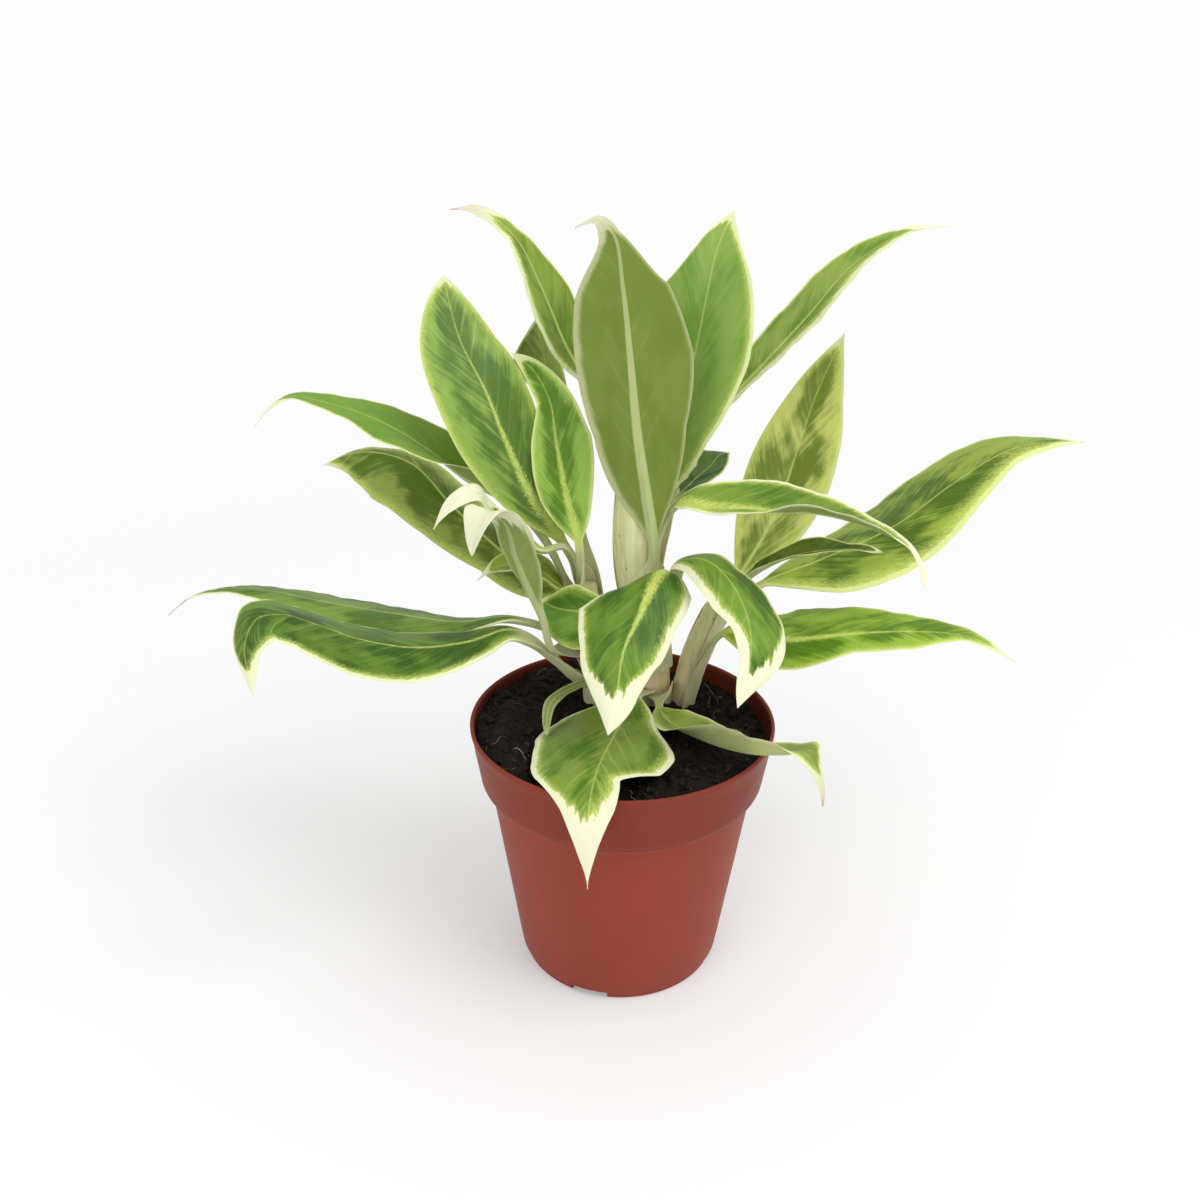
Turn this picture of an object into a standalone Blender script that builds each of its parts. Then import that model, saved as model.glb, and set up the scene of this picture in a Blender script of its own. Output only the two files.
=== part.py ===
"""Chinese evergreen (Aglaonema) growing in a 12 cm plastic nursery pot.

Frame: origin at the centre of the pot's underside, +Z up, the front of the plant towards -Y.
Lengths in the tables below are whole or tenth millimetres; MM turns them into metres.
"""
import math
from dataclasses import dataclass

import bmesh
import bpy
import numpy as np

MM = 0.001
GAP = 0.3               # clearance kept between neighbouring solids

# Pot: thin injection-moulded wall, straight collar above a tapered body
RIM_RADIUS = 60.0
RIM_HEIGHT = 107.0
WALL = 1.2
COLLAR_FOOT_RADIUS = 56.4
COLLAR_FOOT_HEIGHT = 84.0
BODY_TOP_RADIUS = 52.6
BODY_TOP_HEIGHT = 80.0
BASE_RADIUS = 40.5
FOOT_EDGE = 2.8         # height of the small step round the foot
FOOT_STEP = 0.5
FLOOR = 1.6
LIP = 0.6               # roll of the rim's lip beyond the wall
LIP_HEIGHT = 2.4
LIP_TAPER = 0.1
LIP_BLEND = 0.8         # height over which the lip runs back into the collar
RIM_CHAMFER = 0.4
RIM_CHAMFER_WIDTH = 0.3
FLOOR_CHAMFER = 1.5     # height of the slope between the floor and the wall inside
FLOOR_CHAMFER_WIDTH = 1.0
FOOT_BLEND = 0.6        # height over which the foot step runs out to the body
FOOT_CHAMFER = 0.5
POT_SEGMENTS = 48

# Four drain slots, where the wall meets the floor
SLOT_FIRST_AZIMUTH = -107.0
SLOT_COUNT = 4
SLOT_WIDTH = 15.0
SLOT_HEIGHT = 3.4
SLOT_DEPTH = 9.0

# Soil
SOIL_TOP = 100.5
SOIL_EDGE = 1.0         # chamfer of the soil's upper edge
SOIL_FOOT = 2.0         # height of the slope at the soil's foot
SOIL_FOOT_WIDTH = 1.4
SOIL_EASE = 0.2         # extra room for the soil at the corners of the pot's wall
SOCKET_SEGMENTS = 24

# Canes: centre line as (x, y, z, radius); the first two points stand in the soil
CANES = {
    "main": [(14, 29, 82, 6.0), (14, 29, 98, 6.0), (11, 27, 128, 7.0), (5, 23, 160, 7.4),
             (3, 22, 188, 6.6), (2, 22, 204, 3.6)],
    "left": [(-9, 29, 82, 5.4), (-9, 29, 98, 5.4), (-11, 28, 120, 4.9), (-13, 27, 140, 4.3),
             (-14, 27, 152, 2.8)],
    "right": [(24.5, 27, 82, 4.0), (24.5, 27, 98, 4.2), (29, 28, 119, 5.2), (36.5, 30, 138, 4.6),
              (41, 31, 150, 3.0)],
}
CANE_RING = 10          # sides of a cane's ring is 4 + 2 * bevel resolution, about this many

# Leaf cross-section; "grown" is the share of the blade passed, 0 at its base and 1 at its tip
SHEATH_SHARE = 0.38     # sheath's half width as a share of its cane's radius
PETIOLE_HALF_WIDTH = 2.0
PETIOLE_RISE = 0.3      # height of the petiole above its spine as a share of its half width
BROAD_LEAF = 45.0       # width of a leaf whose petiole has the full width
NARROW_SHARE = 0.6      # petiole width of the narrowest leaves as a share of the full width
STALK_FADE = 0.35       # grown share over which the petiole's width fades out
RISE_FADE = 0.2         # grown share over which the petiole's height fades out
PETIOLE_KEEL = 1.5      # depth of the petiole below the leaf's surface
MIDRIB_KEEL = 0.9
LEAST_KEEL = 0.15
UNDER_SHARE = 0.6       # depth of the keel halfway to the margin as a share of the petiole's
BLADE_HALF_THICKNESS = 0.3
TIP_THINNING = 0.5
LEAST_HALF_WIDTH = 0.4
LEAST_NARROWING = 0.6
LEAST_STALK = 0.05      # shortest stalk between sheath and blade as a share of the leaf
FLAT_CURL = 0.001       # smallest curl in radians, so that the section's arc stays defined
STATION_LENGTH = 8.0    # spacing of the loft's rings along a leaf


@dataclass
class Leaf:
    """One grown leaf: sheath on its cane, petiole and blade along one spine.

    seat is (lower height, upper height, azimuth) of the sheath on the cane. The blade starts
    at spine[blade] and heads towards the azimuth heading. swell holds the two exponents of
    the outline, before and after its widest place. Each of fold, curl, roll and the two
    side widths is one value, or one value for each spine point; a pair of lists gives the
    leaf's left side and then its right side, seen from above with the tip ahead. stalk
    widens the petiole.
    """
    name: str
    cane: str
    seat: tuple
    spine: list
    heading: float
    width: float
    blade: int = 0
    swell: tuple = (0.9, 1.1)
    fold: object = 0.0
    curl: object = 0.0
    roll: object = 0.0
    left: object = 1.0
    right: object = 1.0
    stalk: float = 1.0


LEAVES = [
    # main shoot, from the lowest leaf up
    Leaf("main_leaf_01", "main", (102, 106, -118),
         [(6, 14, 108), (1, 0, 107), (-4, -24, 110), (-7, -37, 110.5), (-9, -50, 112), (-11, -66, 108),
          (-11, -76, 82)],
         -110, 51, 0, (0.8, 1.6), -5, -12, 0,
         [0.8, 0.68, 0.98, 0.95, 0.48, 0.83, 1], [1, 1.36, 1.2, 1.18, 1.25, 1, 1]),
    Leaf("main_leaf_02", "main", (102, 104, -65),
         [(15, 10, 105), (18, 2, 104.5), (28, -10, 105), (38, -22, 107.5), (47, -32, 111), (58, -44, 118),
          (64, -50, 122), (69, -54, 116), (71, -56, 104)],
         -40, 22, 0, (0.6, 0.9), [[20, 25, 25, 20, 20, 10, 0, 0, 0], [0, 0, 40, 75, 75, 60, 10, 0, 0]],
         -8, 0, [1, 1.2, 1, 0.7, 0.6, 1.2, 1.7, 0.8, 1], [1, 1, 0.9, 1, 0.9, 0.8, 0.8, 0.9, 1]),
    Leaf("main_leaf_03", "main", (124, 133, -102),
         [(13, 13, 157), (15, 10, 166), (12, 0, 167), (6, -14, 158), (0, -26, 148), (-2, -34, 136),
          (-5, -40, 122)],
         -110, 46, 0, (0.85, 1.05), [[-4] * 7, [-40, -40, -35, -18, -14, -14, -14]],
         [[-10] * 7, [-28] * 7], 0, [1, 0.7, 0.8, 0.62, 0.72, 0.65, 1],
         [1, 1, 1, 1.2, 0.95, 1, 1]),
    Leaf("main_leaf_04", "main", (126, 137, -25),
         [(21, 18, 158), (19, 13, 167), (29, 4, 173), (36, -6, 172), (42, -16, 166), (45, -25, 159),
          (45, -33, 148), (41, -38, 133)],
         -45, 30, 0, (0.85, 1.0), [[-10, -10, -10, -15, -30, -20, -10, -10], [-10] * 8], -12, 0,
         [1, 1, 0.6, 0.55, 1.2, 1.33, 1.5, 1], [0.8, 0.5, 0.7, 0.74, 0.73, 0.5, 0.45, 1]),
    Leaf("main_leaf_05", "main", (144, 154, -48),
         [(11, 14, 174), (8, 13, 193), (4, 13, 218), (1, 15, 245), (-2, 20, 269), (-6, 29, 287),
          (-12, 37, 291), (-20, 43, 287)],
         -90, 48, 0, (1.2, 1.3), 14, -6, 0,
         [1, 1, 0.88, 0.97, 0.88, 0.24, 0.42, 1], [1, 1, 0.79, 0.86, 0.96, 0.6, 0.45, 1]),
    Leaf("main_leaf_06", "main", (156, 166, -2),
         [(19, 18, 189), (24, 10, 193), (31, 4, 194), (43, -4, 196), (55, -10, 197), (65, -16, 199),
          (74, -21, 199), (82, -26, 198), (90, -30, 196), (96, -33, 193), (99, -36, 189), (102, -38, 180)],
         -10, 26, 0, (0.6, 0.9), [[10] * 12, [0, -5, 0, 30, 60, 75, 75, 75, 70, 60, 40, 0]], -5, 8,
         [1, 1, 1, 1, 0.95, 0.68, 0.57, 0.45, 0.35, 0.3, 0.35, 1],
         [0.6, 0.37, 0.34, 0.4, 0.62, 0.65, 0.65, 0.65, 0.6, 0.4, 0.4, 1]),
    Leaf("main_leaf_07", "main", (142, 150, 45),
         [(18, 44, 180), (27, 57, 204), (49, 66, 226), (72, 80, 248), (92, 90, 269), (113, 98, 280),
          (133, 106, 282)],
         35, 27, 1, (1.0, 1.3), 12, 0, -5,
         1, [1, 1, 0.6, 0.9, 1, 1, 1]),
    Leaf("main_leaf_08", "main", (169, 177, 32),
         [(22, 30, 190), (27, 40, 192), (34, 52, 194), (39, 62, 196), (42, 68, 195)],
         45, 26, 0, (0.6, 0.4), 5, 0, 0,
         [1, 0.5, 0.6, 1, 1], [1, 0.8, 0.6, 0.35, 0.3]),
    Leaf("main_leaf_09", "main", (148, 158, 127),
         [(-2, 38, 192), (-11, 45, 221), (-24, 48, 243), (-33, 50, 264), (-44, 50, 284), (-56, 52, 292),
          (-67, 55, 292)],
         150, 26, 1, (1.3, 1.5), 12, 0, -8,
         [1, 1, 1.18, 0.93, 0.64, 1.35, 1.6], [1, 1, 1.18, 0.86, 0.41, 0.8, 1.2]),
    Leaf("main_leaf_10", "main", (152, 164, 84),
         [(9, 33, 180), (19, 38, 213), (26, 44, 243), (30, 50, 264), (33, 54, 278), (39, 58, 292)],
         60, 48, 0, (1.0, 0.95), 10, 0, -4,
         [1, 1, 1, 0.95, 0.72, 0.8], [1, 0.87, 1.09, 1.13, 1.16, 1]),
    # right shoot
    Leaf("right_leaf_01", "right", (102, 109, -35),
         [(33, 21, 123), (39, 17, 136), (63, 8, 138), (89, 2, 144), (109, -4, 148), (129, -8, 148),
          (146, -12, 140)],
         0, 34, 1, (0.75, 1.25), -5, -12, 0,
         [1, 1, 1.6, 1.3, 1, 1, 1], [1, 1, 1, 0.56, 0.7, 0.4, 0.6]),
    Leaf("right_leaf_02", "right", (120, 130, 28),
         [(47, 33, 145), (56, 33, 151), (78, 38, 159), (110, 46, 172), (134, 54, 188), (156, 60, 200),
          (188, 66, 202)],
         0, 46, 1, (0.9, 1.15), -8, -10, 14,
         [1, 1, 1, 1.1, 1.25, 1.55, 1.8], [1, 1.1, 1.3, 1, 0.8, 0.6, 0.7]),
    Leaf("right_leaf_03", "right", (128, 138, -55),
         [(45, 23, 153), (50, 20, 161), (58, 17, 167), (74, 11, 174), (85, 8, 176), (97, 5, 176)],
         0, 18, 1, (0.8, 1.0), 25, 0, 0,
         [1, 1, 0.63, 0.76, 0.45, 1], 0.5),
    Leaf("right_leaf_04", "right", (122, 132, 75),
         [(47, 44, 148), (62, 56, 172), (71, 68, 196), (78, 78, 215), (85, 84, 231), (90, 88, 241)],
         70, 38, 0, (0.9, 1.1), 10, 0, 0,
         [1, 1, 0.9, 0.8, 0.8, 0.8], 1),
    # left shoot
    Leaf("left_leaf_01", "left", (102, 106, -75),
         [(-13, 14, 114), (-22, 2, 117), (-28, -8, 116), (-29, -14, 106)],
         -150, 5, 0, (0.5, 0.5), 5, 0, 0),
    Leaf("left_leaf_02", "left", (102, 108, -140),
         [(-19, 21, 112), (-26.5, 17, 123), (-35, 12, 134.5), (-44, 8, 140), (-59, 0, 139), (-78, -8, 140),
          (-97, -18, 148), (-111, -28, 159), (-120, -36, 166), (-126, -42, 167), (-130, -46, 159),
          (-129, -49, 149), (-128, -50, 140)],
         195, 40, 3, (0.9, 1.2), -8, -15, -6,
         [1, 1, 1, 1, 0.85, 0.9, 0.95, 1, 1, 1, 1, 1, 1], 1, 2.8),
    Leaf("left_leaf_03", "left", (102, 111, 155),
         [(-20, 32, 121), (-30, 27, 132), (-44, 24, 138), (-67, 26, 135), (-92, 30, 136), (-122, 36, 138),
          (-148, 42, 140), (-168, 44, 140), (-183, 44, 136), (-194, 44, 127)],
         180, 32, 2, (0.9, 1.7), -5, -15, 8,
         1, [1, 1, 1, 1, 1.2, 1.5, 1.8, 2.4, 2, 1], 1.6),
    Leaf("left_leaf_04", "left", (118, 128, 110),
         [(-27, 44, 141), (-53, 54, 156), (-74, 64, 172), (-91, 72, 187), (-103, 76, 190), (-117, 80, 189),
          (-132, 84, 182)],
         150, 44, 0, (0.5, 1.0), -22, -10, -22,
         [0.8, 0.57, 0.84, 1.33, 1.66, 1.76, 1.3], [0.9, 0.82, 0.84, 0.72, 0.64, 0.95, 1.3]),
    Leaf("left_leaf_05", "left", (110, 119, -160),
         [(-28.5, 9.5, 132), (-31.5, 7, 146.5), (-36, 5, 158), (-41, 2, 174), (-44, -3, 189), (-49, -8, 195),
          (-53, -12, 189), (-55, -14, 180)],
         -125, 19, 1, (1.3, 0.7), 8, 0, 0,
         [1, 1, 2, 1.35, 1, 1, 1, 1], [1, 1, 1.2, 0.9, 1.1, 1.6, 1.2, 1]),
    Leaf("left_leaf_06", "left", (124, 132, 150),
         [(-23, 29, 150), (-31, 29, 169), (-45, 31, 184), (-62, 33, 193), (-76, 34, 204), (-95, 34, 216),
          (-113, 32, 223), (-129, 30, 226), (-141, 24, 216)],
         180, 30, 1, (0.9, 1.3),
         [[30, 50, 50, 40, 5, -15, 0, 0, 0], [20, 35, 40, 40, 30, 15, 10, 5, 0]], -5, 0,
         [1, 1, 0.85, 1, 1, 1, 1, 1, 1], [1, 1, 1, 1, 1, 1.1, 1.1, 1, 1]),
    Leaf("left_leaf_07", "left", (130, 137, -150),
         [(-24, 24, 150), (-35, 23, 160), (-47, 22, 162), (-58, 20, 156)],
         180, 22, 0, (0.9, 1.3), 10, 0, 0),
    Leaf("left_leaf_08", "left", (112, 120, -60),
         [(-8, 17, 138), (-12, 15.5, 145), (-18, 15, 145.5), (-23, 16, 145.5), (-28, 17.5, 146),
          (-33, 20, 148)],
         185, 28, 0, (0.8, 0.8), [[-55] * 6, [80, 80, 82, 82, 78, 70]], [[-20] * 6, [0] * 6], 0,
         [1.1, 1.1, 1.1, 1.05, 1.05, 0.9], [0.4, 0.6, 0.8, 0.76, 0.72, 0.65]),
    Leaf("left_leaf_09", "left", (132, 140, -80),
         [(-16, 20, 152), (-18, 20, 173), (-23, 25, 191), (-27, 31, 210), (-30, 37, 225), (-36, 40, 235),
          (-44, 38, 242)],
         90, 26, 1, (0.8, 1.0), 10, -10, 0,
         [1, 1, 0.96, 0.76, 0.5, 0.8, 1], [1, 1, 1, 1.08, 0.87, 0.8, 1]),
    Leaf("left_leaf_10", "left", (143, 149, 180),
         [(-25, 20, 171), (-31, 18, 170), (-38, 15, 176), (-45, 12, 184), (-51, 10, 190), (-55, 8, 197),
          (-60, 6, 197), (-66, 4, 192), (-71, 2, 184)],
         190, 12, 1, (0.9, 1.1), 5, -10, -15,
         [1, 1, 1, 1, 1, 1.3, 1.5, 1.4, 1], 1),
    Leaf("left_leaf_11", "left", (141, 149, 118),
         [(-24, 27, 169), (-36, 26, 188), (-46, 27, 211), (-53, 29, 229), (-63, 36, 247), (-70, 48, 269)],
         120, 39, 0, (1.1, 0.85), 0, -10, 0,
         1, [1, 1, 0.9, 0.86, 0.85, 0.9]),
    Leaf("left_leaf_12", "left", (132, 139, 70),
         [(-17, 36, 166), (-20, 42, 186), (-23, 49, 205), (-30, 56, 223), (-34, 60, 239), (-36, 60, 251)],
         120, 26, 1, (0.8, 0.7), 10, 0, 0,
         [1, 1, 1, 0.58, 1.6, 1], [1, 1, 0.65, 0.5, 0.65, 1]),
]

# Finishes: colour, roughness, metallic
POT_FINISH = ((0.30, 0.075, 0.045, 1.0), 0.42, 0.0)
SOIL_FINISH = ((0.018, 0.012, 0.009, 1.0), 0.95, 0.0)
CANE_FINISH = ((0.42, 0.45, 0.24, 1.0), 0.5, 0.0)
LEAF_FINISH = ((0.12, 0.22, 0.045, 1.0), 0.38, 0.0)


def clear_scene():
    for old in list(bpy.data.objects):
        bpy.data.objects.remove(old, do_unlink=True)


def new_collection(name):
    collection = bpy.data.collections.new(name)
    bpy.context.scene.collection.children.link(collection)
    return collection


def make_material(name, finish):
    colour, roughness, metallic = finish
    material = bpy.data.materials.new(name)
    material.use_nodes = True
    shader = material.node_tree.nodes["Principled BSDF"]
    shader.inputs["Base Color"].default_value = colour
    shader.inputs["Roughness"].default_value = roughness
    shader.inputs["Metallic"].default_value = metallic
    return material


def add_object(name, data, collection, finish):
    obj = bpy.data.objects.new(name, data)
    collection.objects.link(obj)
    data.materials.append(make_material(name + "_finish", finish))
    return obj


def turned(name, profile, segments, collection, finish):
    """Turn a profile of (radius, height) in mm, listed so that it runs down its outer side."""
    mesh = bpy.data.meshes.new(name)
    points = [(radius * MM, 0.0, height * MM) for radius, height in profile]
    edges = [(i, i + 1) for i in range(len(points) - 1)]
    mesh.from_pydata(points, edges, [])
    obj = add_object(name, mesh, collection, finish)
    screw = obj.modifiers.new("turn", "SCREW")
    screw.axis = "Z"
    screw.angle = 2 * math.pi
    screw.steps = segments
    screw.render_steps = segments
    screw.use_merge_vertices = True
    screw.merge_threshold = 0.00001
    return obj


def cut(obj, cutter):
    """Subtract the cutter from the object, and keep the cutter as a hidden guide."""
    cutter.hide_render = True
    cutter.display_type = "WIRE"
    boolean = obj.modifiers.new("cut_" + cutter.name, "BOOLEAN")
    boolean.operation = "DIFFERENCE"
    boolean.object = cutter


def wall_radius(height, inset):
    """Outer radius of the pot's body or collar at a height, less an inset."""
    if height >= COLLAR_FOOT_HEIGHT:
        low, high = (COLLAR_FOOT_HEIGHT, COLLAR_FOOT_RADIUS), (RIM_HEIGHT, RIM_RADIUS - LIP)
    elif height >= BODY_TOP_HEIGHT:
        low, high = (BODY_TOP_HEIGHT, BODY_TOP_RADIUS), (COLLAR_FOOT_HEIGHT, COLLAR_FOOT_RADIUS)
    else:
        low, high = (0.0, BASE_RADIUS), (BODY_TOP_HEIGHT, BODY_TOP_RADIUS)
    share = (height - low[0]) / (high[0] - low[0])
    return low[1] + share * (high[1] - low[1]) - inset


def make_pot(collection, cutters):
    """Pot wall and floor in one turned shell, with the drain slots cut through its foot."""
    shoulder = RIM_HEIGHT - RIM_CHAMFER
    lip_foot = RIM_HEIGHT - LIP_HEIGHT
    lip_end = lip_foot - LIP_BLEND
    floor_edge = FLOOR + FLOOR_CHAMFER
    foot_top = FOOT_EDGE + FOOT_BLEND
    foot_radius = BASE_RADIUS - FOOT_STEP
    inner = [(0.0, FLOOR)]
    inner.append((wall_radius(FLOOR, WALL) - FLOOR_CHAMFER_WIDTH, FLOOR))
    inner.append((wall_radius(floor_edge, WALL), floor_edge))
    inner.append((wall_radius(BODY_TOP_HEIGHT, WALL), BODY_TOP_HEIGHT))
    inner.append((wall_radius(COLLAR_FOOT_HEIGHT, WALL), COLLAR_FOOT_HEIGHT))
    inner.append((wall_radius(shoulder, WALL), shoulder))
    inner.append((wall_radius(RIM_HEIGHT, WALL - RIM_CHAMFER_WIDTH), RIM_HEIGHT))
    outer = [(RIM_RADIUS - RIM_CHAMFER_WIDTH, RIM_HEIGHT)]
    outer.append((RIM_RADIUS, shoulder))
    outer.append((RIM_RADIUS - LIP_TAPER, lip_foot))
    outer.append((wall_radius(lip_end, 0.0), lip_end))
    outer.append((COLLAR_FOOT_RADIUS, COLLAR_FOOT_HEIGHT))
    outer.append((BODY_TOP_RADIUS, BODY_TOP_HEIGHT))
    outer.append((wall_radius(foot_top, 0.0), foot_top))
    outer.append((wall_radius(FOOT_EDGE, FOOT_STEP), FOOT_EDGE))
    outer.append((foot_radius, FOOT_CHAMFER))
    outer.append((foot_radius - FOOT_CHAMFER, 0.0))
    outer.append((0.0, 0.0))
    pot = turned("pot", inner + outer, POT_SEGMENTS, collection, POT_FINISH)
    for number in range(SLOT_COUNT):
        azimuth = math.radians(SLOT_FIRST_AZIMUTH + number * 360.0 / SLOT_COUNT)
        reach = BASE_RADIUS - SLOT_DEPTH / 4
        bpy.ops.mesh.primitive_cube_add(size=1.0)
        cutter = bpy.context.active_object
        cutter.name = "drain_slot_%d" % (number + 1)
        cutter.scale = (SLOT_DEPTH * MM, SLOT_WIDTH * MM, 2 * SLOT_HEIGHT * MM)
        cutter.rotation_euler = (0.0, 0.0, azimuth)
        cutter.location = (reach * math.cos(azimuth) * MM, reach * math.sin(azimuth) * MM, 0.0)
        move_to(cutter, cutters)
        cut(pot, cutter)
    return pot


def move_to(obj, collection):
    for owner in list(obj.users_collection):
        owner.objects.unlink(obj)
    collection.objects.link(obj)


def make_soil(collection, cutters):
    """Peat that fills the pot, with a socket for each cane."""
    floor = FLOOR + GAP
    inset = WALL + GAP
    edge = SOIL_TOP - SOIL_EDGE
    foot_top = floor + SOIL_FOOT
    profile = [(0.0, SOIL_TOP)]
    profile.append((wall_radius(SOIL_TOP, inset) - SOIL_EDGE, SOIL_TOP))
    profile.append((wall_radius(edge, inset), edge))
    profile.append((wall_radius(COLLAR_FOOT_HEIGHT, inset + SOIL_EASE), COLLAR_FOOT_HEIGHT))
    profile.append((wall_radius(BODY_TOP_HEIGHT, inset + SOIL_EASE / 2), BODY_TOP_HEIGHT))
    profile.append((wall_radius(foot_top, inset + SOIL_EASE), foot_top))
    profile.append((wall_radius(floor, inset + SOIL_EASE) - SOIL_FOOT_WIDTH, floor))
    profile.append((0.0, floor))
    soil = turned("soil", profile, POT_SEGMENTS, collection, SOIL_FINISH)
    for name, points in CANES.items():
        x, y, foot, radius = points[0]
        top_radius = max(radius, points[1][3])
        bpy.ops.mesh.primitive_cylinder_add(vertices=SOCKET_SEGMENTS, radius=(top_radius + 2 * GAP) * MM,
                                            depth=2 * (SOIL_TOP - foot + GAP) * MM,
                                            location=(x * MM, y * MM, SOIL_TOP * MM))
        cutter = bpy.context.active_object
        cutter.name = name + "_socket"
        move_to(cutter, cutters)
        cut(soil, cutter)
    return soil


def smooth_path(points, count=240):
    """Read a curve through the points, evenly along its length.

    Returns the positions and the length share of each given point. The slope at a point is
    the mean of its two chords, each weighted by the other's length.
    """
    knots = np.array(points, dtype=float)
    chords = np.linalg.norm(np.diff(knots[:, :3], axis=0), axis=1)
    reach = np.concatenate([[0.0], np.cumsum(chords)])
    slopes = np.zeros_like(knots)
    rise = np.diff(knots, axis=0) / chords[:, None]
    for i in range(1, len(knots) - 1):
        before, after = chords[i - 1], chords[i]
        slopes[i] = (rise[i - 1] * after + rise[i] * before) / (before + after)
    slopes[0] = 1.5 * rise[0] - 0.5 * slopes[1]
    slopes[-1] = 1.5 * rise[-1] - 0.5 * slopes[-2]
    where = np.linspace(0.0, reach[-1], count)
    span = np.clip(np.searchsorted(reach, where, side="right") - 1, 0, len(chords) - 1)
    step = chords[span][:, None]
    t = ((where - reach[span])[:, None]) / step
    curve = (2 * t**3 - 3 * t**2 + 1) * knots[span] + (t**3 - 2 * t**2 + t) * step * slopes[span]
    curve += (3 * t**2 - 2 * t**3) * knots[span + 1] + (t**3 - t**2) * step * slopes[span + 1]
    run = np.linalg.norm(np.diff(curve[:, :3], axis=0), axis=1)
    share = np.concatenate([[0.0], np.cumsum(run)])
    length = share[-1]
    share /= length
    return curve, share, np.interp(reach, where, share), length


def resample(curve, share, shares):
    return np.stack([np.interp(shares, share, curve[:, k]) for k in range(curve.shape[1])], axis=1)


def cane_at(cane, height):
    """Centre and radius of a cane at a height."""
    curve, _, _, _ = smooth_path(CANES[cane])
    values = [np.interp(height, curve[:, 2], curve[:, k]) for k in (0, 1, 3)]
    return np.array([values[0], values[1], height]), values[2]


def make_cane(name, points, collection):
    """Cane as a round tube whose radius changes along its length."""
    data = bpy.data.curves.new(name, "CURVE")
    data.dimensions = "3D"
    data.bevel_depth = MM
    data.bevel_resolution = (CANE_RING - 4) // 2
    data.use_fill_caps = True
    curve, share, _, length = smooth_path(points)
    count = int(length / STATION_LENGTH) + 2
    stations = resample(curve, share, np.linspace(0.0, 1.0, count))
    spline = data.splines.new("POLY")
    spline.points.add(count - 1)
    for point, (x, y, z, radius) in zip(spline.points, stations):
        point.co = (x * MM, y * MM, z * MM, 1.0)
        point.radius = radius
    return add_object(name + "_cane", data, collection, CANE_FINISH)


def ease(x):
    x = np.clip(x, 0.0, 1.0)
    return x * x * (3.0 - 2.0 * x)


def along(value, shares, knots):
    """Spread one value, or one value for each spine point, over the stations."""
    if np.isscalar(value):
        return np.full(len(shares), float(value))
    value = np.array([value[0], value[0]] + list(value), dtype=float)
    return np.interp(shares, knots, value)


def two_sides(value):
    """Split a section value into its left and right sides."""
    if not np.isscalar(value) and not np.isscalar(value[0]):
        return value[0], value[1]
    return value, value


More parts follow.
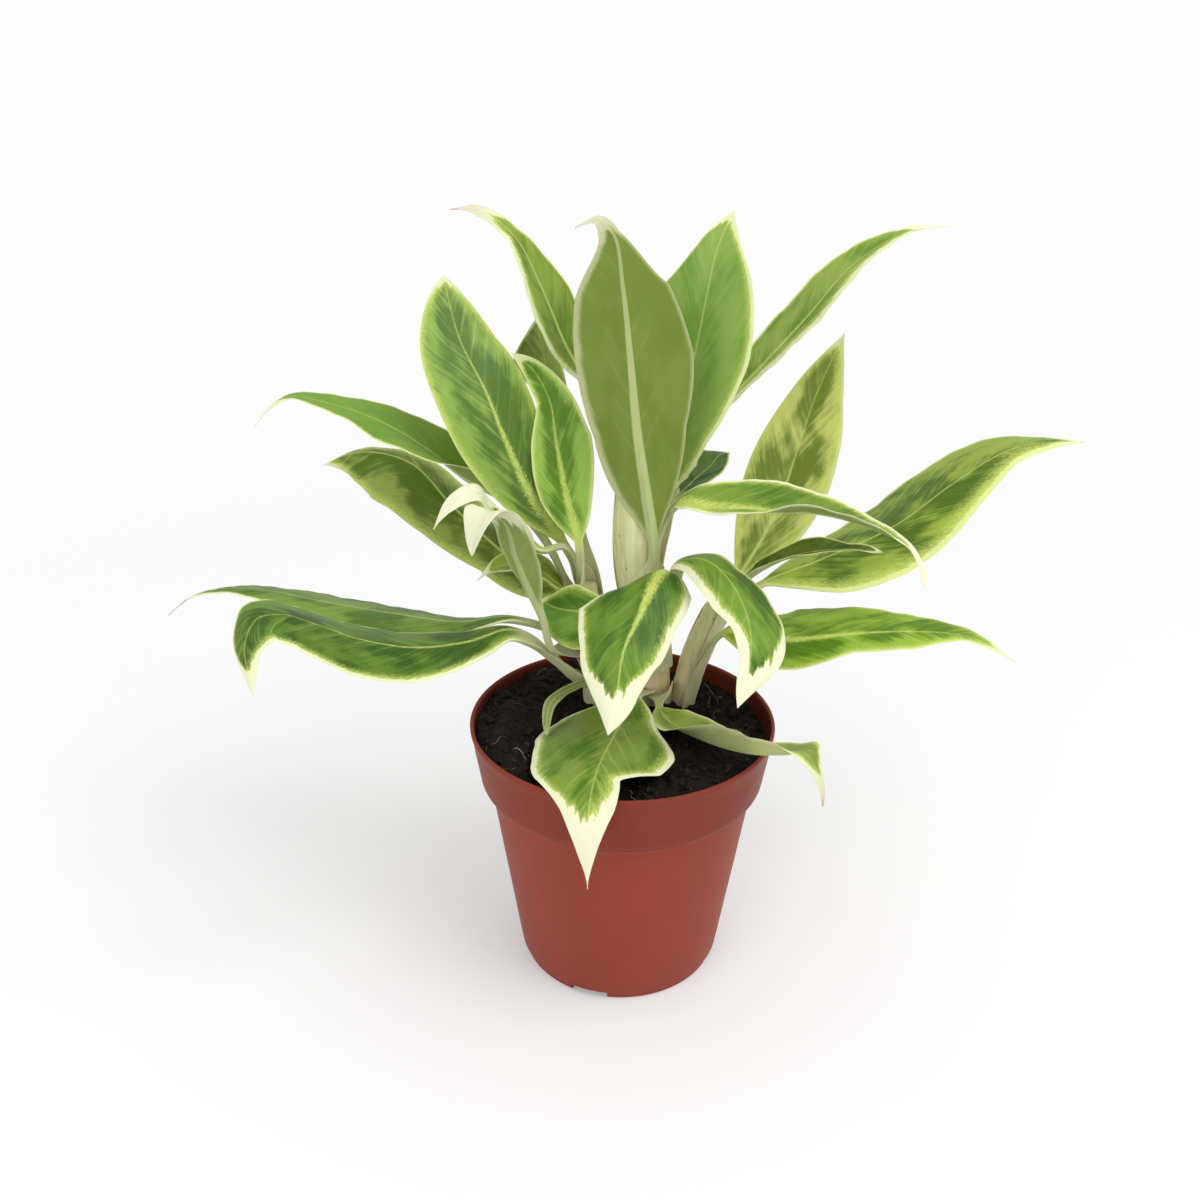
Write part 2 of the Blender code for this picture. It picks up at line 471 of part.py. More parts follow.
class LeafForm:
    """The leaf's spine, frames and section, read at any number of stations."""

    def __init__(self, leaf, count=None):
        low, high, azimuth = leaf.seat
        outward = np.array([math.cos(math.radians(azimuth)), math.sin(math.radians(azimuth)), 0.0])
        seats = []
        for height in (low, high):
            centre, radius = cane_at(leaf.cane, height)
            seats.append(centre + outward * (radius + 2 * GAP + PETIOLE_HALF_WIDTH * PETIOLE_RISE))
        self.cane_radius = cane_at(leaf.cane, low)[1]
        curve, share, knots, length = smooth_path(seats + [np.array(p, float) for p in leaf.spine])
        self.length = length
        count = count or int(length / STATION_LENGTH) + 4
        self.shares = np.linspace(0.0, 1.0, count)
        self.centres = resample(curve, share, self.shares)
        self.start = knots[leaf.blade + 2]
        self.seat_end = knots[1]
        self.set_section(leaf, knots)
        self.set_frames(leaf, azimuth)

    def set_section(self, leaf, knots):
        shares = self.shares
        grown = np.clip((shares - self.start) / (1.0 - self.start), 0.0, 1.0)
        before, after = leaf.swell
        widest = before / (before + after)
        outline = (np.maximum(grown, 1e-6) / widest)**before
        outline = outline * ((1.0 - grown) / (1.0 - widest))**after
        outline = np.where(grown > 0.0, outline, 0.0)
        stalk = 1.0 - ease(grown / STALK_FADE)
        hug = 1.0 - ease((shares - self.seat_end) / max(self.start - self.seat_end, LEAST_STALK))
        breadth = NARROW_SHARE + (1.0 - NARROW_SHARE) * leaf.width / BROAD_LEAF
        petiole = PETIOLE_HALF_WIDTH * leaf.stalk * breadth
        stalk_width = petiole + (SHEATH_SHARE * self.cane_radius - petiole) * hug
        half = np.sqrt((outline * leaf.width / 2)**2 + (stalk_width * stalk)**2)
        half = np.maximum(half, LEAST_HALF_WIDTH * (1.0 - LEAST_NARROWING * grown))
        self.grown = grown
        self.keel = MIDRIB_KEEL * (1.0 - grown) + (PETIOLE_KEEL * leaf.stalk - MIDRIB_KEEL) * stalk
        self.keel = self.keel + LEAST_KEEL
        self.hug = hug
        folds = two_sides(leaf.fold)
        curls = two_sides(leaf.curl)
        self.side = []
        for fold, curl, width in zip(folds, curls, (leaf.left, leaf.right)):
            width = half * along(width, shares, knots)
            fold = np.radians(along(fold, shares, knots)) * (1.0 - hug)
            curl = np.radians(along(curl, shares, knots)) * (1.0 - hug)
            curl = curl + hug * width / self.cane_radius
            curl = np.where(np.abs(curl) < FLAT_CURL, FLAT_CURL, curl)
            self.side.append((width, fold, curl))
        self.roll = np.radians(along(leaf.roll, shares, knots)) * (1.0 - hug)

    def set_frames(self, leaf, azimuth):
        """Carry the side direction along the spine, turned on the petiole to the heading."""
        tangents = np.gradient(self.centres, axis=0)
        tangents /= np.linalg.norm(tangents, axis=1)[:, None]
        side = np.array([-math.sin(math.radians(azimuth)), math.cos(math.radians(azimuth)), 0.0])
        sides = []
        for tangent in tangents:
            side = side - side.dot(tangent) * tangent
            side = side / np.linalg.norm(side)
            sides.append(side)
        sides = np.array(sides)
        first = int(np.searchsorted(self.shares, self.start))
        heading = math.radians(leaf.heading)
        wanted = np.array([-math.sin(heading), math.cos(heading), 0.0])
        wanted = wanted - wanted.dot(tangents[first]) * tangents[first]
        turn = math.atan2(np.cross(sides[first], wanted).dot(tangents[first]),
                          sides[first].dot(wanted))
        twist = turn * (1.0 - self.hug) + self.roll
        normals = np.cross(tangents, sides)
        self.sides = np.cos(twist)[:, None] * sides + np.sin(twist)[:, None] * normals
        self.normals = np.cross(tangents, self.sides)

    def point(self, across, lift):
        """Points at one place across the leaf, from -1 (right margin) to 1 (left margin)."""
        width, fold, curl = self.side[0] if across >= 0 else self.side[1]
        reach = abs(across)
        x = width * (np.sin(fold + curl * reach) - np.sin(fold)) / curl
        z = width * (np.cos(fold) - np.cos(fold + curl * reach)) / curl
        tilt = fold + curl * reach
        x = x - lift * np.sin(tilt) * (1.0 if reach > 0 else 0.0)
        z = z + lift * np.cos(tilt * (1.0 if reach > 0 else 0.0))
        if across < 0:
            x = -x
        return self.centres + x[:, None] * self.sides + z[:, None] * self.normals


def make_leaf(leaf, collection):
    """Loft rings of eight points along the leaf, closed by the base and the tip."""
    form = LeafForm(leaf)
    rise = 1.0 - ease(form.grown / RISE_FADE)
    thin = BLADE_HALF_THICKNESS * (1.0 - TIP_THINNING * form.grown)
    stalk = thin + (PETIOLE_HALF_WIDTH * PETIOLE_RISE - BLADE_HALF_THICKNESS) * rise
    under = thin + (form.keel - MIDRIB_KEEL) * UNDER_SHARE * rise
    margin = np.zeros_like(thin)
    columns = [form.point(1.0, margin), form.point(0.5, stalk), form.point(0.0, stalk),
               form.point(-0.5, stalk), form.point(-1.0, margin), form.point(-0.5, -under),
               form.point(0.0, -form.keel), form.point(0.5, -under)]
    rings = np.stack(columns, axis=1)
    mesh = bpy.data.meshes.new(leaf.name)
    work = bmesh.new()
    loops = [[work.verts.new(point * MM) for point in ring] for ring in rings[:-1]]
    tip = work.verts.new(form.centres[-1] * MM)
    size = len(columns)
    for ring, following in zip(loops[:-1], loops[1:]):
        for k in range(size):
            after = (k + 1) % size
            work.faces.new((ring[k], ring[after], following[after], following[k]))
    for k in range(size):
        work.faces.new((loops[-1][k], loops[-1][(k + 1) % size], tip))
    work.faces.new(loops[0])
    bmesh.ops.recalc_face_normals(work, faces=work.faces)
    bmesh.ops.triangulate(work, faces=work.faces)
    work.to_mesh(mesh)
    work.free()
    mesh.shade_smooth()
    return add_object(leaf.name, mesh, collection, LEAF_FINISH)


def main():
    clear_scene()
    plant = new_collection("potted_chinese_evergreen")
    cutters = new_collection("cutters")
    make_pot(plant, cutters)
    make_soil(plant, cutters)
    for name, points in CANES.items():
        make_cane(name, points, plant)
    for leaf in LEAVES:
        make_leaf(leaf, plant)


main()
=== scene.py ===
"""Looks of the potted chinese evergreen: fine leaf blades, canes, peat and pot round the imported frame."""
import math
from dataclasses import dataclass

import bmesh
import bpy
import numpy as np
from mathutils import Matrix, Vector


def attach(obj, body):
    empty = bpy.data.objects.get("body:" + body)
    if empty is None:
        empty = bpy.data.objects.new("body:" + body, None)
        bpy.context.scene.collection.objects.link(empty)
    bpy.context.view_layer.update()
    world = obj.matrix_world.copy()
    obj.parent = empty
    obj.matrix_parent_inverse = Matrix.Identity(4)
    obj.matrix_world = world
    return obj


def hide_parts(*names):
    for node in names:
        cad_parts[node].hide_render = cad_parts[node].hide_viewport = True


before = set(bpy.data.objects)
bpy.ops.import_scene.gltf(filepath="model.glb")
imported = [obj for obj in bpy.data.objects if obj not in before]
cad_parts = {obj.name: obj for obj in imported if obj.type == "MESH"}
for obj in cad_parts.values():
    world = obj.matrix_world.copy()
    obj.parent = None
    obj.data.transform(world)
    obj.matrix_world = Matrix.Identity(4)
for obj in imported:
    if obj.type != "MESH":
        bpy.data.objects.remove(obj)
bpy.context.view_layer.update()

MM = 0.001
GAP = 0.3
TURN = 2 * math.pi
SHARP_ANGLE = 50        # edges sharper than this, in degrees, are shown as edges
BLADE_SHARP_ANGLE = 60

# Canes: centre line as (x, y, z, radius) in mm
CANES = {
    "main": [(14, 29, 82, 6.0), (14, 29, 98, 6.0), (11, 27, 128, 7.0), (5, 23, 160, 7.4),
             (3, 22, 188, 6.6), (2, 22, 204, 3.6)],
    "left": [(-9, 29, 82, 5.4), (-9, 29, 98, 5.4), (-11, 28, 120, 4.9), (-13, 27, 140, 4.3),
             (-14, 27, 152, 2.8)],
    "right": [(24.5, 27, 82, 4.0), (24.5, 27, 98, 4.2), (29, 28, 119, 5.2), (36.5, 30, 138, 4.6),
              (41, 31, 150, 3.0)],
}

# Leaf form, in mm
SHEATH_WRAP = 1.25      # half width of the shown sheath as a share of its cane's radius
SHEATH_DROP = 9.0       # how far the shown sheath runs down its cane below the seat
SHEATH_FOOT = 94.0      # lowest height of a sheath, inside the peat
SHEATH_LIFT = 0.9       # how far the first sheath lies off its cane
SHEATH_LAYER = 0.12     # what each further sheath adds to that
LAYERS = 11             # leaves take this many layers in turn
PETIOLE_HALF_WIDTH = 2.0
PETIOLE_RISE = 0.3      # distance of the spine off its cane, past the gap, as a share of that
BROAD_LEAF = 45.0       # width of a leaf whose petiole has the full width
NARROW_SHARE = 0.6      # petiole width of the narrowest leaves as a share of the full width
STALK_FADE = 0.35       # grown share over which the petiole fades out
PETIOLE_KEEL = 1.5      # depth of the petiole below the leaf's surface
MIDRIB_KEEL = 0.9       # and of the midrib at the base of the blade
LEAST_KEEL = 0.12       # and all along
LEAST_HALF_WIDTH = 0.35
BLADE_HALF_THICKNESS = 0.3
FLAT_CURL = 0.001       # smallest curl in radians, so that the section's arc stays defined
STATION_LENGTH = 1.5    # spacing of a shown blade's rings
ACROSS = 13             # points from midrib to margin

# Relief of a blade, in mm
QUILT = 0.16            # swell between two side veins
WAVE = 0.32             # ripple of the margin
WAVE_LENGTHS = (23.0, 11.0)
GROOVE = 0.35           # depth of the channel over the midrib
VEIN_SPACING = 11.0
VEIN_SLANT = 1.7        # run of a side vein towards the tip for each mm from the midrib
VEIN_BEND = 0.012       # and how much that grows with each further mm


@dataclass
class Leaf:
    """One grown leaf, by the same measures as its solid in the frame, in mm and degrees."""
    name: str
    cane: str
    seat: tuple
    spine: list
    heading: float
    width: float
    blade: int = 0
    swell: tuple = (0.9, 1.1)
    fold: object = 0.0
    curl: object = 0.0
    roll: object = 0.0
    left: object = 1.0
    right: object = 1.0
    stalk: float = 1.0


LEAVES = [
    # main shoot, from the lowest leaf up
    Leaf("main_leaf_01", "main", (102, 106, -118),
         [(6, 14, 108), (1, 0, 107), (-4, -24, 110), (-7, -37, 110.5), (-9, -50, 112), (-11, -66, 108),
          (-11, -76, 82)],
         -110, 51, 0, (0.8, 1.6), -5, -12, 0,
         [0.8, 0.68, 0.98, 0.95, 0.48, 0.83, 1], [1, 1.36, 1.2, 1.18, 1.25, 1, 1]),
    Leaf("main_leaf_02", "main", (102, 104, -65),
         [(15, 10, 105), (18, 2, 104.5), (28, -10, 105), (38, -22, 107.5), (47, -32, 111), (58, -44, 118),
          (64, -50, 122), (69, -54, 116), (71, -56, 104)],
         -40, 22, 0, (0.6, 0.9), [[20, 25, 25, 20, 20, 10, 0, 0, 0], [0, 0, 40, 75, 75, 60, 10, 0, 0]],
         -8, 0, [1, 1.2, 1, 0.7, 0.6, 1.2, 1.7, 0.8, 1], [1, 1, 0.9, 1, 0.9, 0.8, 0.8, 0.9, 1]),
    Leaf("main_leaf_03", "main", (124, 133, -102),
         [(13, 13, 157), (15, 10, 166), (12, 0, 167), (6, -14, 158), (0, -26, 148), (-2, -34, 136),
          (-5, -40, 122)],
         -110, 46, 0, (0.85, 1.05), [[-4] * 7, [-40, -40, -35, -18, -14, -14, -14]],
         [[-10] * 7, [-28] * 7], 0, [1, 0.7, 0.8, 0.62, 0.72, 0.65, 1],
         [1, 1, 1, 1.2, 0.95, 1, 1]),
    Leaf("main_leaf_04", "main", (126, 137, -25),
         [(21, 18, 158), (19, 13, 167), (29, 4, 173), (36, -6, 172), (42, -16, 166), (45, -25, 159),
          (45, -33, 148), (41, -38, 133)],
         -45, 30, 0, (0.85, 1.0), [[-10, -10, -10, -15, -30, -20, -10, -10], [-10] * 8], -12, 0,
         [1, 1, 0.6, 0.55, 1.2, 1.33, 1.5, 1], [0.8, 0.5, 0.7, 0.74, 0.73, 0.5, 0.45, 1]),
    Leaf("main_leaf_05", "main", (144, 154, -48),
         [(11, 14, 174), (8, 13, 193), (4, 13, 218), (1, 15, 245), (-2, 20, 269), (-6, 29, 287),
          (-12, 37, 291), (-20, 43, 287)],
         -90, 48, 0, (1.2, 1.3), 14, -6, 0,
         [1, 1, 0.88, 0.97, 0.88, 0.24, 0.42, 1], [1, 1, 0.79, 0.86, 0.96, 0.6, 0.45, 1]),
    Leaf("main_leaf_06", "main", (156, 166, -2),
         [(19, 18, 189), (24, 10, 193), (31, 4, 194), (43, -4, 196), (55, -10, 197), (65, -16, 199),
          (74, -21, 199), (82, -26, 198), (90, -30, 196), (96, -33, 193), (99, -36, 189), (102, -38, 180)],
         -10, 26, 0, (0.6, 0.9), [[10] * 12, [0, -5, 0, 30, 60, 75, 75, 75, 70, 60, 40, 0]], -5, 8,
         [1, 1, 1, 1, 0.95, 0.68, 0.57, 0.45, 0.35, 0.3, 0.35, 1],
         [0.6, 0.37, 0.34, 0.4, 0.62, 0.65, 0.65, 0.65, 0.6, 0.4, 0.4, 1]),
    Leaf("main_leaf_07", "main", (142, 150, 45),
         [(18, 44, 180), (27, 57, 204), (49, 66, 226), (72, 80, 248), (92, 90, 269), (113, 98, 280),
          (133, 106, 282)],
         35, 27, 1, (1.0, 1.3), 12, 0, -5,
         1, [1, 1, 0.6, 0.9, 1, 1, 1]),
    Leaf("main_leaf_08", "main", (169, 177, 32),
         [(22, 30, 190), (27, 40, 192), (34, 52, 194), (39, 62, 196), (42, 68, 195)],
         45, 26, 0, (0.6, 0.4), 5, 0, 0,
         [1, 0.5, 0.6, 1, 1], [1, 0.8, 0.6, 0.35, 0.3]),
    Leaf("main_leaf_09", "main", (148, 158, 127),
         [(-2, 38, 192), (-11, 45, 221), (-24, 48, 243), (-33, 50, 264), (-44, 50, 284), (-56, 52, 292),
          (-67, 55, 292)],
         150, 26, 1, (1.3, 1.5), 12, 0, -8,
         [1, 1, 1.18, 0.93, 0.64, 1.35, 1.6], [1, 1, 1.18, 0.86, 0.41, 0.8, 1.2]),
    Leaf("main_leaf_10", "main", (152, 164, 84),
         [(9, 33, 180), (19, 38, 213), (26, 44, 243), (30, 50, 264), (33, 54, 278), (39, 58, 292)],
         60, 48, 0, (1.0, 0.95), 10, 0, -4,
         [1, 1, 1, 0.95, 0.72, 0.8], [1, 0.87, 1.09, 1.13, 1.16, 1]),
    # right shoot
    Leaf("right_leaf_01", "right", (102, 109, -35),
         [(33, 21, 123), (39, 17, 136), (63, 8, 138), (89, 2, 144), (109, -4, 148), (129, -8, 148),
          (146, -12, 140)],
         0, 34, 1, (0.75, 1.25), -5, -12, 0,
         [1, 1, 1.6, 1.3, 1, 1, 1], [1, 1, 1, 0.56, 0.7, 0.4, 0.6]),
    Leaf("right_leaf_02", "right", (120, 130, 28),
         [(47, 33, 145), (56, 33, 151), (78, 38, 159), (110, 46, 172), (134, 54, 188), (156, 60, 200),
          (188, 66, 202)],
         0, 46, 1, (0.9, 1.15), -8, -10, 14,
         [1, 1, 1, 1.1, 1.25, 1.55, 1.8], [1, 1.1, 1.3, 1, 0.8, 0.6, 0.7]),
    Leaf("right_leaf_03", "right", (128, 138, -55),
         [(45, 23, 153), (50, 20, 161), (58, 17, 167), (74, 11, 174), (85, 8, 176), (97, 5, 176)],
         0, 18, 1, (0.8, 1.0), 25, 0, 0,
         [1, 1, 0.63, 0.76, 0.45, 1], 0.5),
    Leaf("right_leaf_04", "right", (122, 132, 75),
         [(47, 44, 148), (62, 56, 172), (71, 68, 196), (78, 78, 215), (85, 84, 231), (90, 88, 241)],
         70, 38, 0, (0.9, 1.1), 10, 0, 0,
         [1, 1, 0.9, 0.8, 0.8, 0.8], 1),
    # left shoot
    Leaf("left_leaf_01", "left", (102, 106, -75),
         [(-13, 14, 114), (-22, 2, 117), (-28, -8, 116), (-29, -14, 106)],
         -150, 5, 0, (0.5, 0.5), 5, 0, 0),
    Leaf("left_leaf_02", "left", (102, 108, -140),
         [(-19, 21, 112), (-26.5, 17, 123), (-35, 12, 134.5), (-44, 8, 140), (-59, 0, 139), (-78, -8, 140),
          (-97, -18, 148), (-111, -28, 159), (-120, -36, 166), (-126, -42, 167), (-130, -46, 159),
          (-129, -49, 149), (-128, -50, 140)],
         195, 40, 3, (0.9, 1.2), -8, -15, -6,
         [1, 1, 1, 1, 0.85, 0.9, 0.95, 1, 1, 1, 1, 1, 1], 1, 2.8),
    Leaf("left_leaf_03", "left", (102, 111, 155),
         [(-20, 32, 121), (-30, 27, 132), (-44, 24, 138), (-67, 26, 135), (-92, 30, 136), (-122, 36, 138),
          (-148, 42, 140), (-168, 44, 140), (-183, 44, 136), (-194, 44, 127)],
         180, 32, 2, (0.9, 1.7), -5, -15, 8,
         1, [1, 1, 1, 1, 1.2, 1.5, 1.8, 2.4, 2, 1], 1.6),
    Leaf("left_leaf_04", "left", (118, 128, 110),
         [(-27, 44, 141), (-53, 54, 156), (-74, 64, 172), (-91, 72, 187), (-103, 76, 190), (-117, 80, 189),
          (-132, 84, 182)],
         150, 44, 0, (0.5, 1.0), -22, -10, -22,
         [0.8, 0.57, 0.84, 1.33, 1.66, 1.76, 1.3], [0.9, 0.82, 0.84, 0.72, 0.64, 0.95, 1.3]),
    Leaf("left_leaf_05", "left", (110, 119, -160),
         [(-28.5, 9.5, 132), (-31.5, 7, 146.5), (-36, 5, 158), (-41, 2, 174), (-44, -3, 189), (-49, -8, 195),
          (-53, -12, 189), (-55, -14, 180)],
         -125, 19, 1, (1.3, 0.7), 8, 0, 0,
         [1, 1, 2, 1.35, 1, 1, 1, 1], [1, 1, 1.2, 0.9, 1.1, 1.6, 1.2, 1]),
    Leaf("left_leaf_06", "left", (124, 132, 150),
         [(-23, 29, 150), (-31, 29, 169), (-45, 31, 184), (-62, 33, 193), (-76, 34, 204), (-95, 34, 216),
          (-113, 32, 223), (-129, 30, 226), (-141, 24, 216)],
         180, 30, 1, (0.9, 1.3),
         [[30, 50, 50, 40, 5, -15, 0, 0, 0], [20, 35, 40, 40, 30, 15, 10, 5, 0]], -5, 0,
         [1, 1, 0.85, 1, 1, 1, 1, 1, 1], [1, 1, 1, 1, 1, 1.1, 1.1, 1, 1]),
    Leaf("left_leaf_07", "left", (130, 137, -150),
         [(-24, 24, 150), (-35, 23, 160), (-47, 22, 162), (-58, 20, 156)],
         180, 22, 0, (0.9, 1.3), 10, 0, 0),
    Leaf("left_leaf_08", "left", (112, 120, -60),
         [(-8, 17, 138), (-12, 15.5, 145), (-18, 15, 145.5), (-23, 16, 145.5), (-28, 17.5, 146),
          (-33, 20, 148)],
         185, 28, 0, (0.8, 0.8), [[-55] * 6, [80, 80, 82, 82, 78, 70]], [[-20] * 6, [0] * 6], 0,
         [1.1, 1.1, 1.1, 1.05, 1.05, 0.9], [0.4, 0.6, 0.8, 0.76, 0.72, 0.65]),
    Leaf("left_leaf_09", "left", (132, 140, -80),
         [(-16, 20, 152), (-18, 20, 173), (-23, 25, 191), (-27, 31, 210), (-30, 37, 225), (-36, 40, 235),
          (-44, 38, 242)],
         90, 26, 1, (0.8, 1.0), 10, -10, 0,
         [1, 1, 0.96, 0.76, 0.5, 0.8, 1], [1, 1, 1, 1.08, 0.87, 0.8, 1]),
    Leaf("left_leaf_10", "left", (143, 149, 180),
         [(-25, 20, 171), (-31, 18, 170), (-38, 15, 176), (-45, 12, 184), (-51, 10, 190), (-55, 8, 197),
          (-60, 6, 197), (-66, 4, 192), (-71, 2, 184)],
         190, 12, 1, (0.9, 1.1), 5, -10, -15,
         [1, 1, 1, 1, 1, 1.3, 1.5, 1.4, 1], 1),
    Leaf("left_leaf_11", "left", (141, 149, 118),
         [(-24, 27, 169), (-36, 26, 188), (-46, 27, 211), (-53, 29, 229), (-63, 36, 247), (-70, 48, 269)],
         120, 39, 0, (1.1, 0.85), 0, -10, 0,
         1, [1, 1, 0.9, 0.86, 0.85, 0.9]),
    Leaf("left_leaf_12", "left", (132, 139, 70),
         [(-17, 36, 166), (-20, 42, 186), (-23, 49, 205), (-30, 56, 223), (-34, 60, 239), (-36, 60, 251)],
         120, 26, 1, (0.8, 0.7), 10, 0, 0,
         [1, 1, 1, 0.58, 1.6, 1], [1, 1, 0.65, 0.5, 0.65, 1]),
]


@dataclass
class Look:
    """How one leaf is coloured. Colours are display values from 0 to 255, lengths are in mm."""
    green: tuple
    deep: tuple
    rim: tuple              # width of the pale margin on the left and on the right
    fringe: tuple           # width of the lime zone inside the margin, left and right
    tip: float              # share of the blade where the cream tip starts
    mottle: float           # strength of the light dapples
    heart: float            # half width of the yellow band at the base of the midrib
    rib: tuple              # strength of the midrib's line at the base and at the tip
    veins: float            # strength of the side veins
    margin: tuple = (222, 234, 156)
    under: tuple = (118, 138, 64)
    burn: float = 0.0       # browning of the very end
    core: float = 0.0       # strength of the dark zone round the outer midrib
    drift: float = 0.0      # darkening from base to tip


FRONT_CREAM = (248, 250, 208)
BEIGE = (214, 217, 158)

# Each leaf's greens are set to how light the leaf shows where it hangs, so they hold painted light and
# shade: main_leaf_09, which hangs in shade, is painted lighter.
LOOKS = {
    "main_leaf_01": Look((135, 161, 63), (84, 128, 30), (2.4, 2.2), (4.5, 3.0), 0.74, 0.5, 0.3, (0.1, 0.1),
         0.9, FRONT_CREAM, burn=0.15),
    "main_leaf_02": Look((167, 189, 88), (131, 151, 62), (0.8, 1.2), (2.6, 2.6), 0.9, 0.4, 0.2, (0.1, 0.1),
         0.2, (240, 244, 192), (194, 202, 134), burn=0.6),
    "main_leaf_03": Look((112, 147, 46), (66, 108, 30), (2.6, 2.8), (2.8, 2.6), 0.78, 0.3, 3.0, (0.1, 0.4),
         0.35, FRONT_CREAM),
    "main_leaf_04": Look((126, 163, 54), (78, 114, 35), (0.8, 2.8), (2.0, 2.6), 0.76, 0.3, 0.2, (0.1, 0.0),
         0.5, FRONT_CREAM),
    "main_leaf_05": Look((112, 146, 60), (80, 116, 44), (0.4, 2.0), (1.4, 2.0), 0.9, 0.3, 1.0, (0.6, 0.5),
         0.2, BEIGE, (114, 137, 50)),
    "main_leaf_06": Look((131, 163, 60), (90, 128, 34), (0.8, 0.9), (1.8, 2.2), 0.92, 0.5, 2.2, (0.2, 0.1),
         0.5, FRONT_CREAM, (128, 145, 72)),
    "main_leaf_07": Look((152, 178, 78), (110, 148, 46), (0.7, 3.2), (1.4, 5.0), 0.9, 0.3, 1.2, (0.2, 0.1),
         0.3, (244, 249, 198)),
    "main_leaf_08": Look((74, 112, 24), (40, 75, 8), (1.8, 0.4), (0.6, 0.6), 0.97, 0.1, 0.1, (0.0, 0.0),
         0.1, BEIGE),
    "main_leaf_09": Look((146, 173, 67), (114, 142, 49), (2.2, 0.2), (2.4, 1.0), 0.84, 0.3, 0.6,
         (0.8, 0.2), 0.2, (238, 246, 192), (172, 176, 126), burn=0.5),
    "main_leaf_10": Look((154, 188, 88), (126, 172, 66), (0.1, 1.6), (1.0, 3.0), 0.99, 0.6, 0.4,
         (0.7, 0.6), 0.5, (242, 250, 184)),
    "right_leaf_01": Look((160, 196, 62), (94, 134, 20), (0.4, 0.5), (2.2, 2.2), 0.95, 0.5, 2.0,
         (0.3, 0.0), 0.8, (232, 240, 170), core=0.3),
    "right_leaf_02": Look((156, 182, 66), (82, 112, 24), (0.3, 2.4), (3.0, 6.5), 0.97, 0.4, 0.3,
         (0.1, 0.4), 0.4, (234, 242, 160), core=0.5, drift=-0.1),
    "right_leaf_03": Look((88, 109, 28), (56, 80, 10), (0.2, 0.5), (0.6, 0.8), 0.99, 0.2, 0.1, (0.0, 0.0),
         0.1, BEIGE, burn=0.9),
    "right_leaf_04": Look((214, 220, 122), (120, 140, 52), (0.3, 1.3), (3.0, 6.0), 0.98, 0.4, 0.6,
         (0.5, 0.0), 0.3, (226, 230, 156), core=0.5, drift=0.04),
    "left_leaf_01": Look((146, 156, 96), (128, 140, 80), (0.4, 0.4), (0.5, 0.5), 0.99, 0.1, 0.1,
         (0.0, 0.0), 0.0, (170, 176, 116)),
    "left_leaf_02": Look((102, 136, 43), (60, 94, 26), (1.3, 0.7), (2.6, 1.4), 0.95, 0.4, 0.5, (0.1, 0.0),
         0.5, (244, 250, 196), core=0.4),
    "left_leaf_03": Look((129, 161, 60), (86, 121, 38), (0.7, 0.5), (1.2, 1.2), 0.97, 0.4, 0.4, (0.3, 0.1),
         0.3, (244, 248, 208), burn=0.4),
    "left_leaf_04": Look((148, 168, 76), (86, 113, 24), (0.3, 0.4), (5.0, 6.5), 0.97, 0.3, 0.6, (0.4, 0.6),
         0.3, (204, 212, 140), core=0.5),
    "left_leaf_05": Look((112, 138, 60), (88, 116, 48), (0.4, 0.5), (0.6, 0.8), 0.56, 0.3, 0.4, (0.2, 0.1),
         0.2, (230, 236, 176), (146, 161, 87)),
    "left_leaf_06": Look((124, 163, 46), (112, 158, 52), (0.6, 0.3), (1.4, 1.0), 0.92, 0.3, 0.8,
         (0.3, 0.0), 0.3, (238, 244, 184), (136, 156, 72)),
    "left_leaf_07": Look((145, 164, 55), (112, 140, 20), (0.5, 0.3), (1.4, 1.4), 0.86, 0.2, 0.2,
         (0.3, 0.2), 0.2, (206, 210, 156), (120, 128, 60)),
    "left_leaf_08": Look((124, 164, 53), (76, 120, 25), (0.4, 0.6), (3.0, 3.0), 0.97, 0.3, 0.5, (0.2, 0.1),
         0.3, core=0.4),
    "left_leaf_09": Look((160, 202, 86), (94, 136, 28), (0.7, 0.9), (1.4, 1.4), 0.97, 0.3, 1.6, (0.1, 0.0),
         0.2, (222, 236, 160), core=0.6, drift=0.12),
    "left_leaf_10": Look((134, 154, 80), (104, 128, 58), (1.2, 0.4), (1.0, 0.8), 0.44, 0.3, 1.0,
         (0.1, 0.1), 0.2, (240, 244, 184), (170, 182, 118)),
    "left_leaf_11": Look((146, 180, 80), (90, 123, 47), (0.3, 0.2), (3.0, 3.0), 0.99, 0.6, 2.0, (0.4, 0.0),
         0.8, (214, 228, 150), core=0.55),
    "left_leaf_12": Look((176, 199, 114), (114, 141, 60), (0.5, 0.5), (1.0, 1.0), 0.99, 0.2, 0.2,
         (0.3, 0.2), 0.1),
}


# ---------------- curves and leaf form

def smooth_path(points, count=240):
    """Read a curve through the points, evenly along its length."""
    knots = np.array(points, dtype=float)
    chords = np.linalg.norm(np.diff(knots[:, :3], axis=0), axis=1)
    reach = np.concatenate([[0.0], np.cumsum(chords)])
    slopes = np.zeros_like(knots)
    rise = np.diff(knots, axis=0) / chords[:, None]
    for i in range(1, len(knots) - 1):
        before, after = chords[i - 1], chords[i]
        slopes[i] = (rise[i - 1] * after + rise[i] * before) / (before + after)
    slopes[0] = 1.5 * rise[0] - 0.5 * slopes[1]
    slopes[-1] = 1.5 * rise[-1] - 0.5 * slopes[-2]
    where = np.linspace(0.0, reach[-1], count)
    span = np.clip(np.searchsorted(reach, where, side="right") - 1, 0, len(chords) - 1)
    step = chords[span][:, None]
    t = ((where - reach[span])[:, None]) / step
    curve = (2 * t**3 - 3 * t**2 + 1) * knots[span] + (t**3 - 2 * t**2 + t) * step * slopes[span]
    curve += (3 * t**2 - 2 * t**3) * knots[span + 1] + (t**3 - t**2) * step * slopes[span + 1]
    run = np.linalg.norm(np.diff(curve[:, :3], axis=0), axis=1)
    share = np.concatenate([[0.0], np.cumsum(run)])
    length = share[-1]
    share /= length
    return curve, share, np.interp(reach, where, share), length


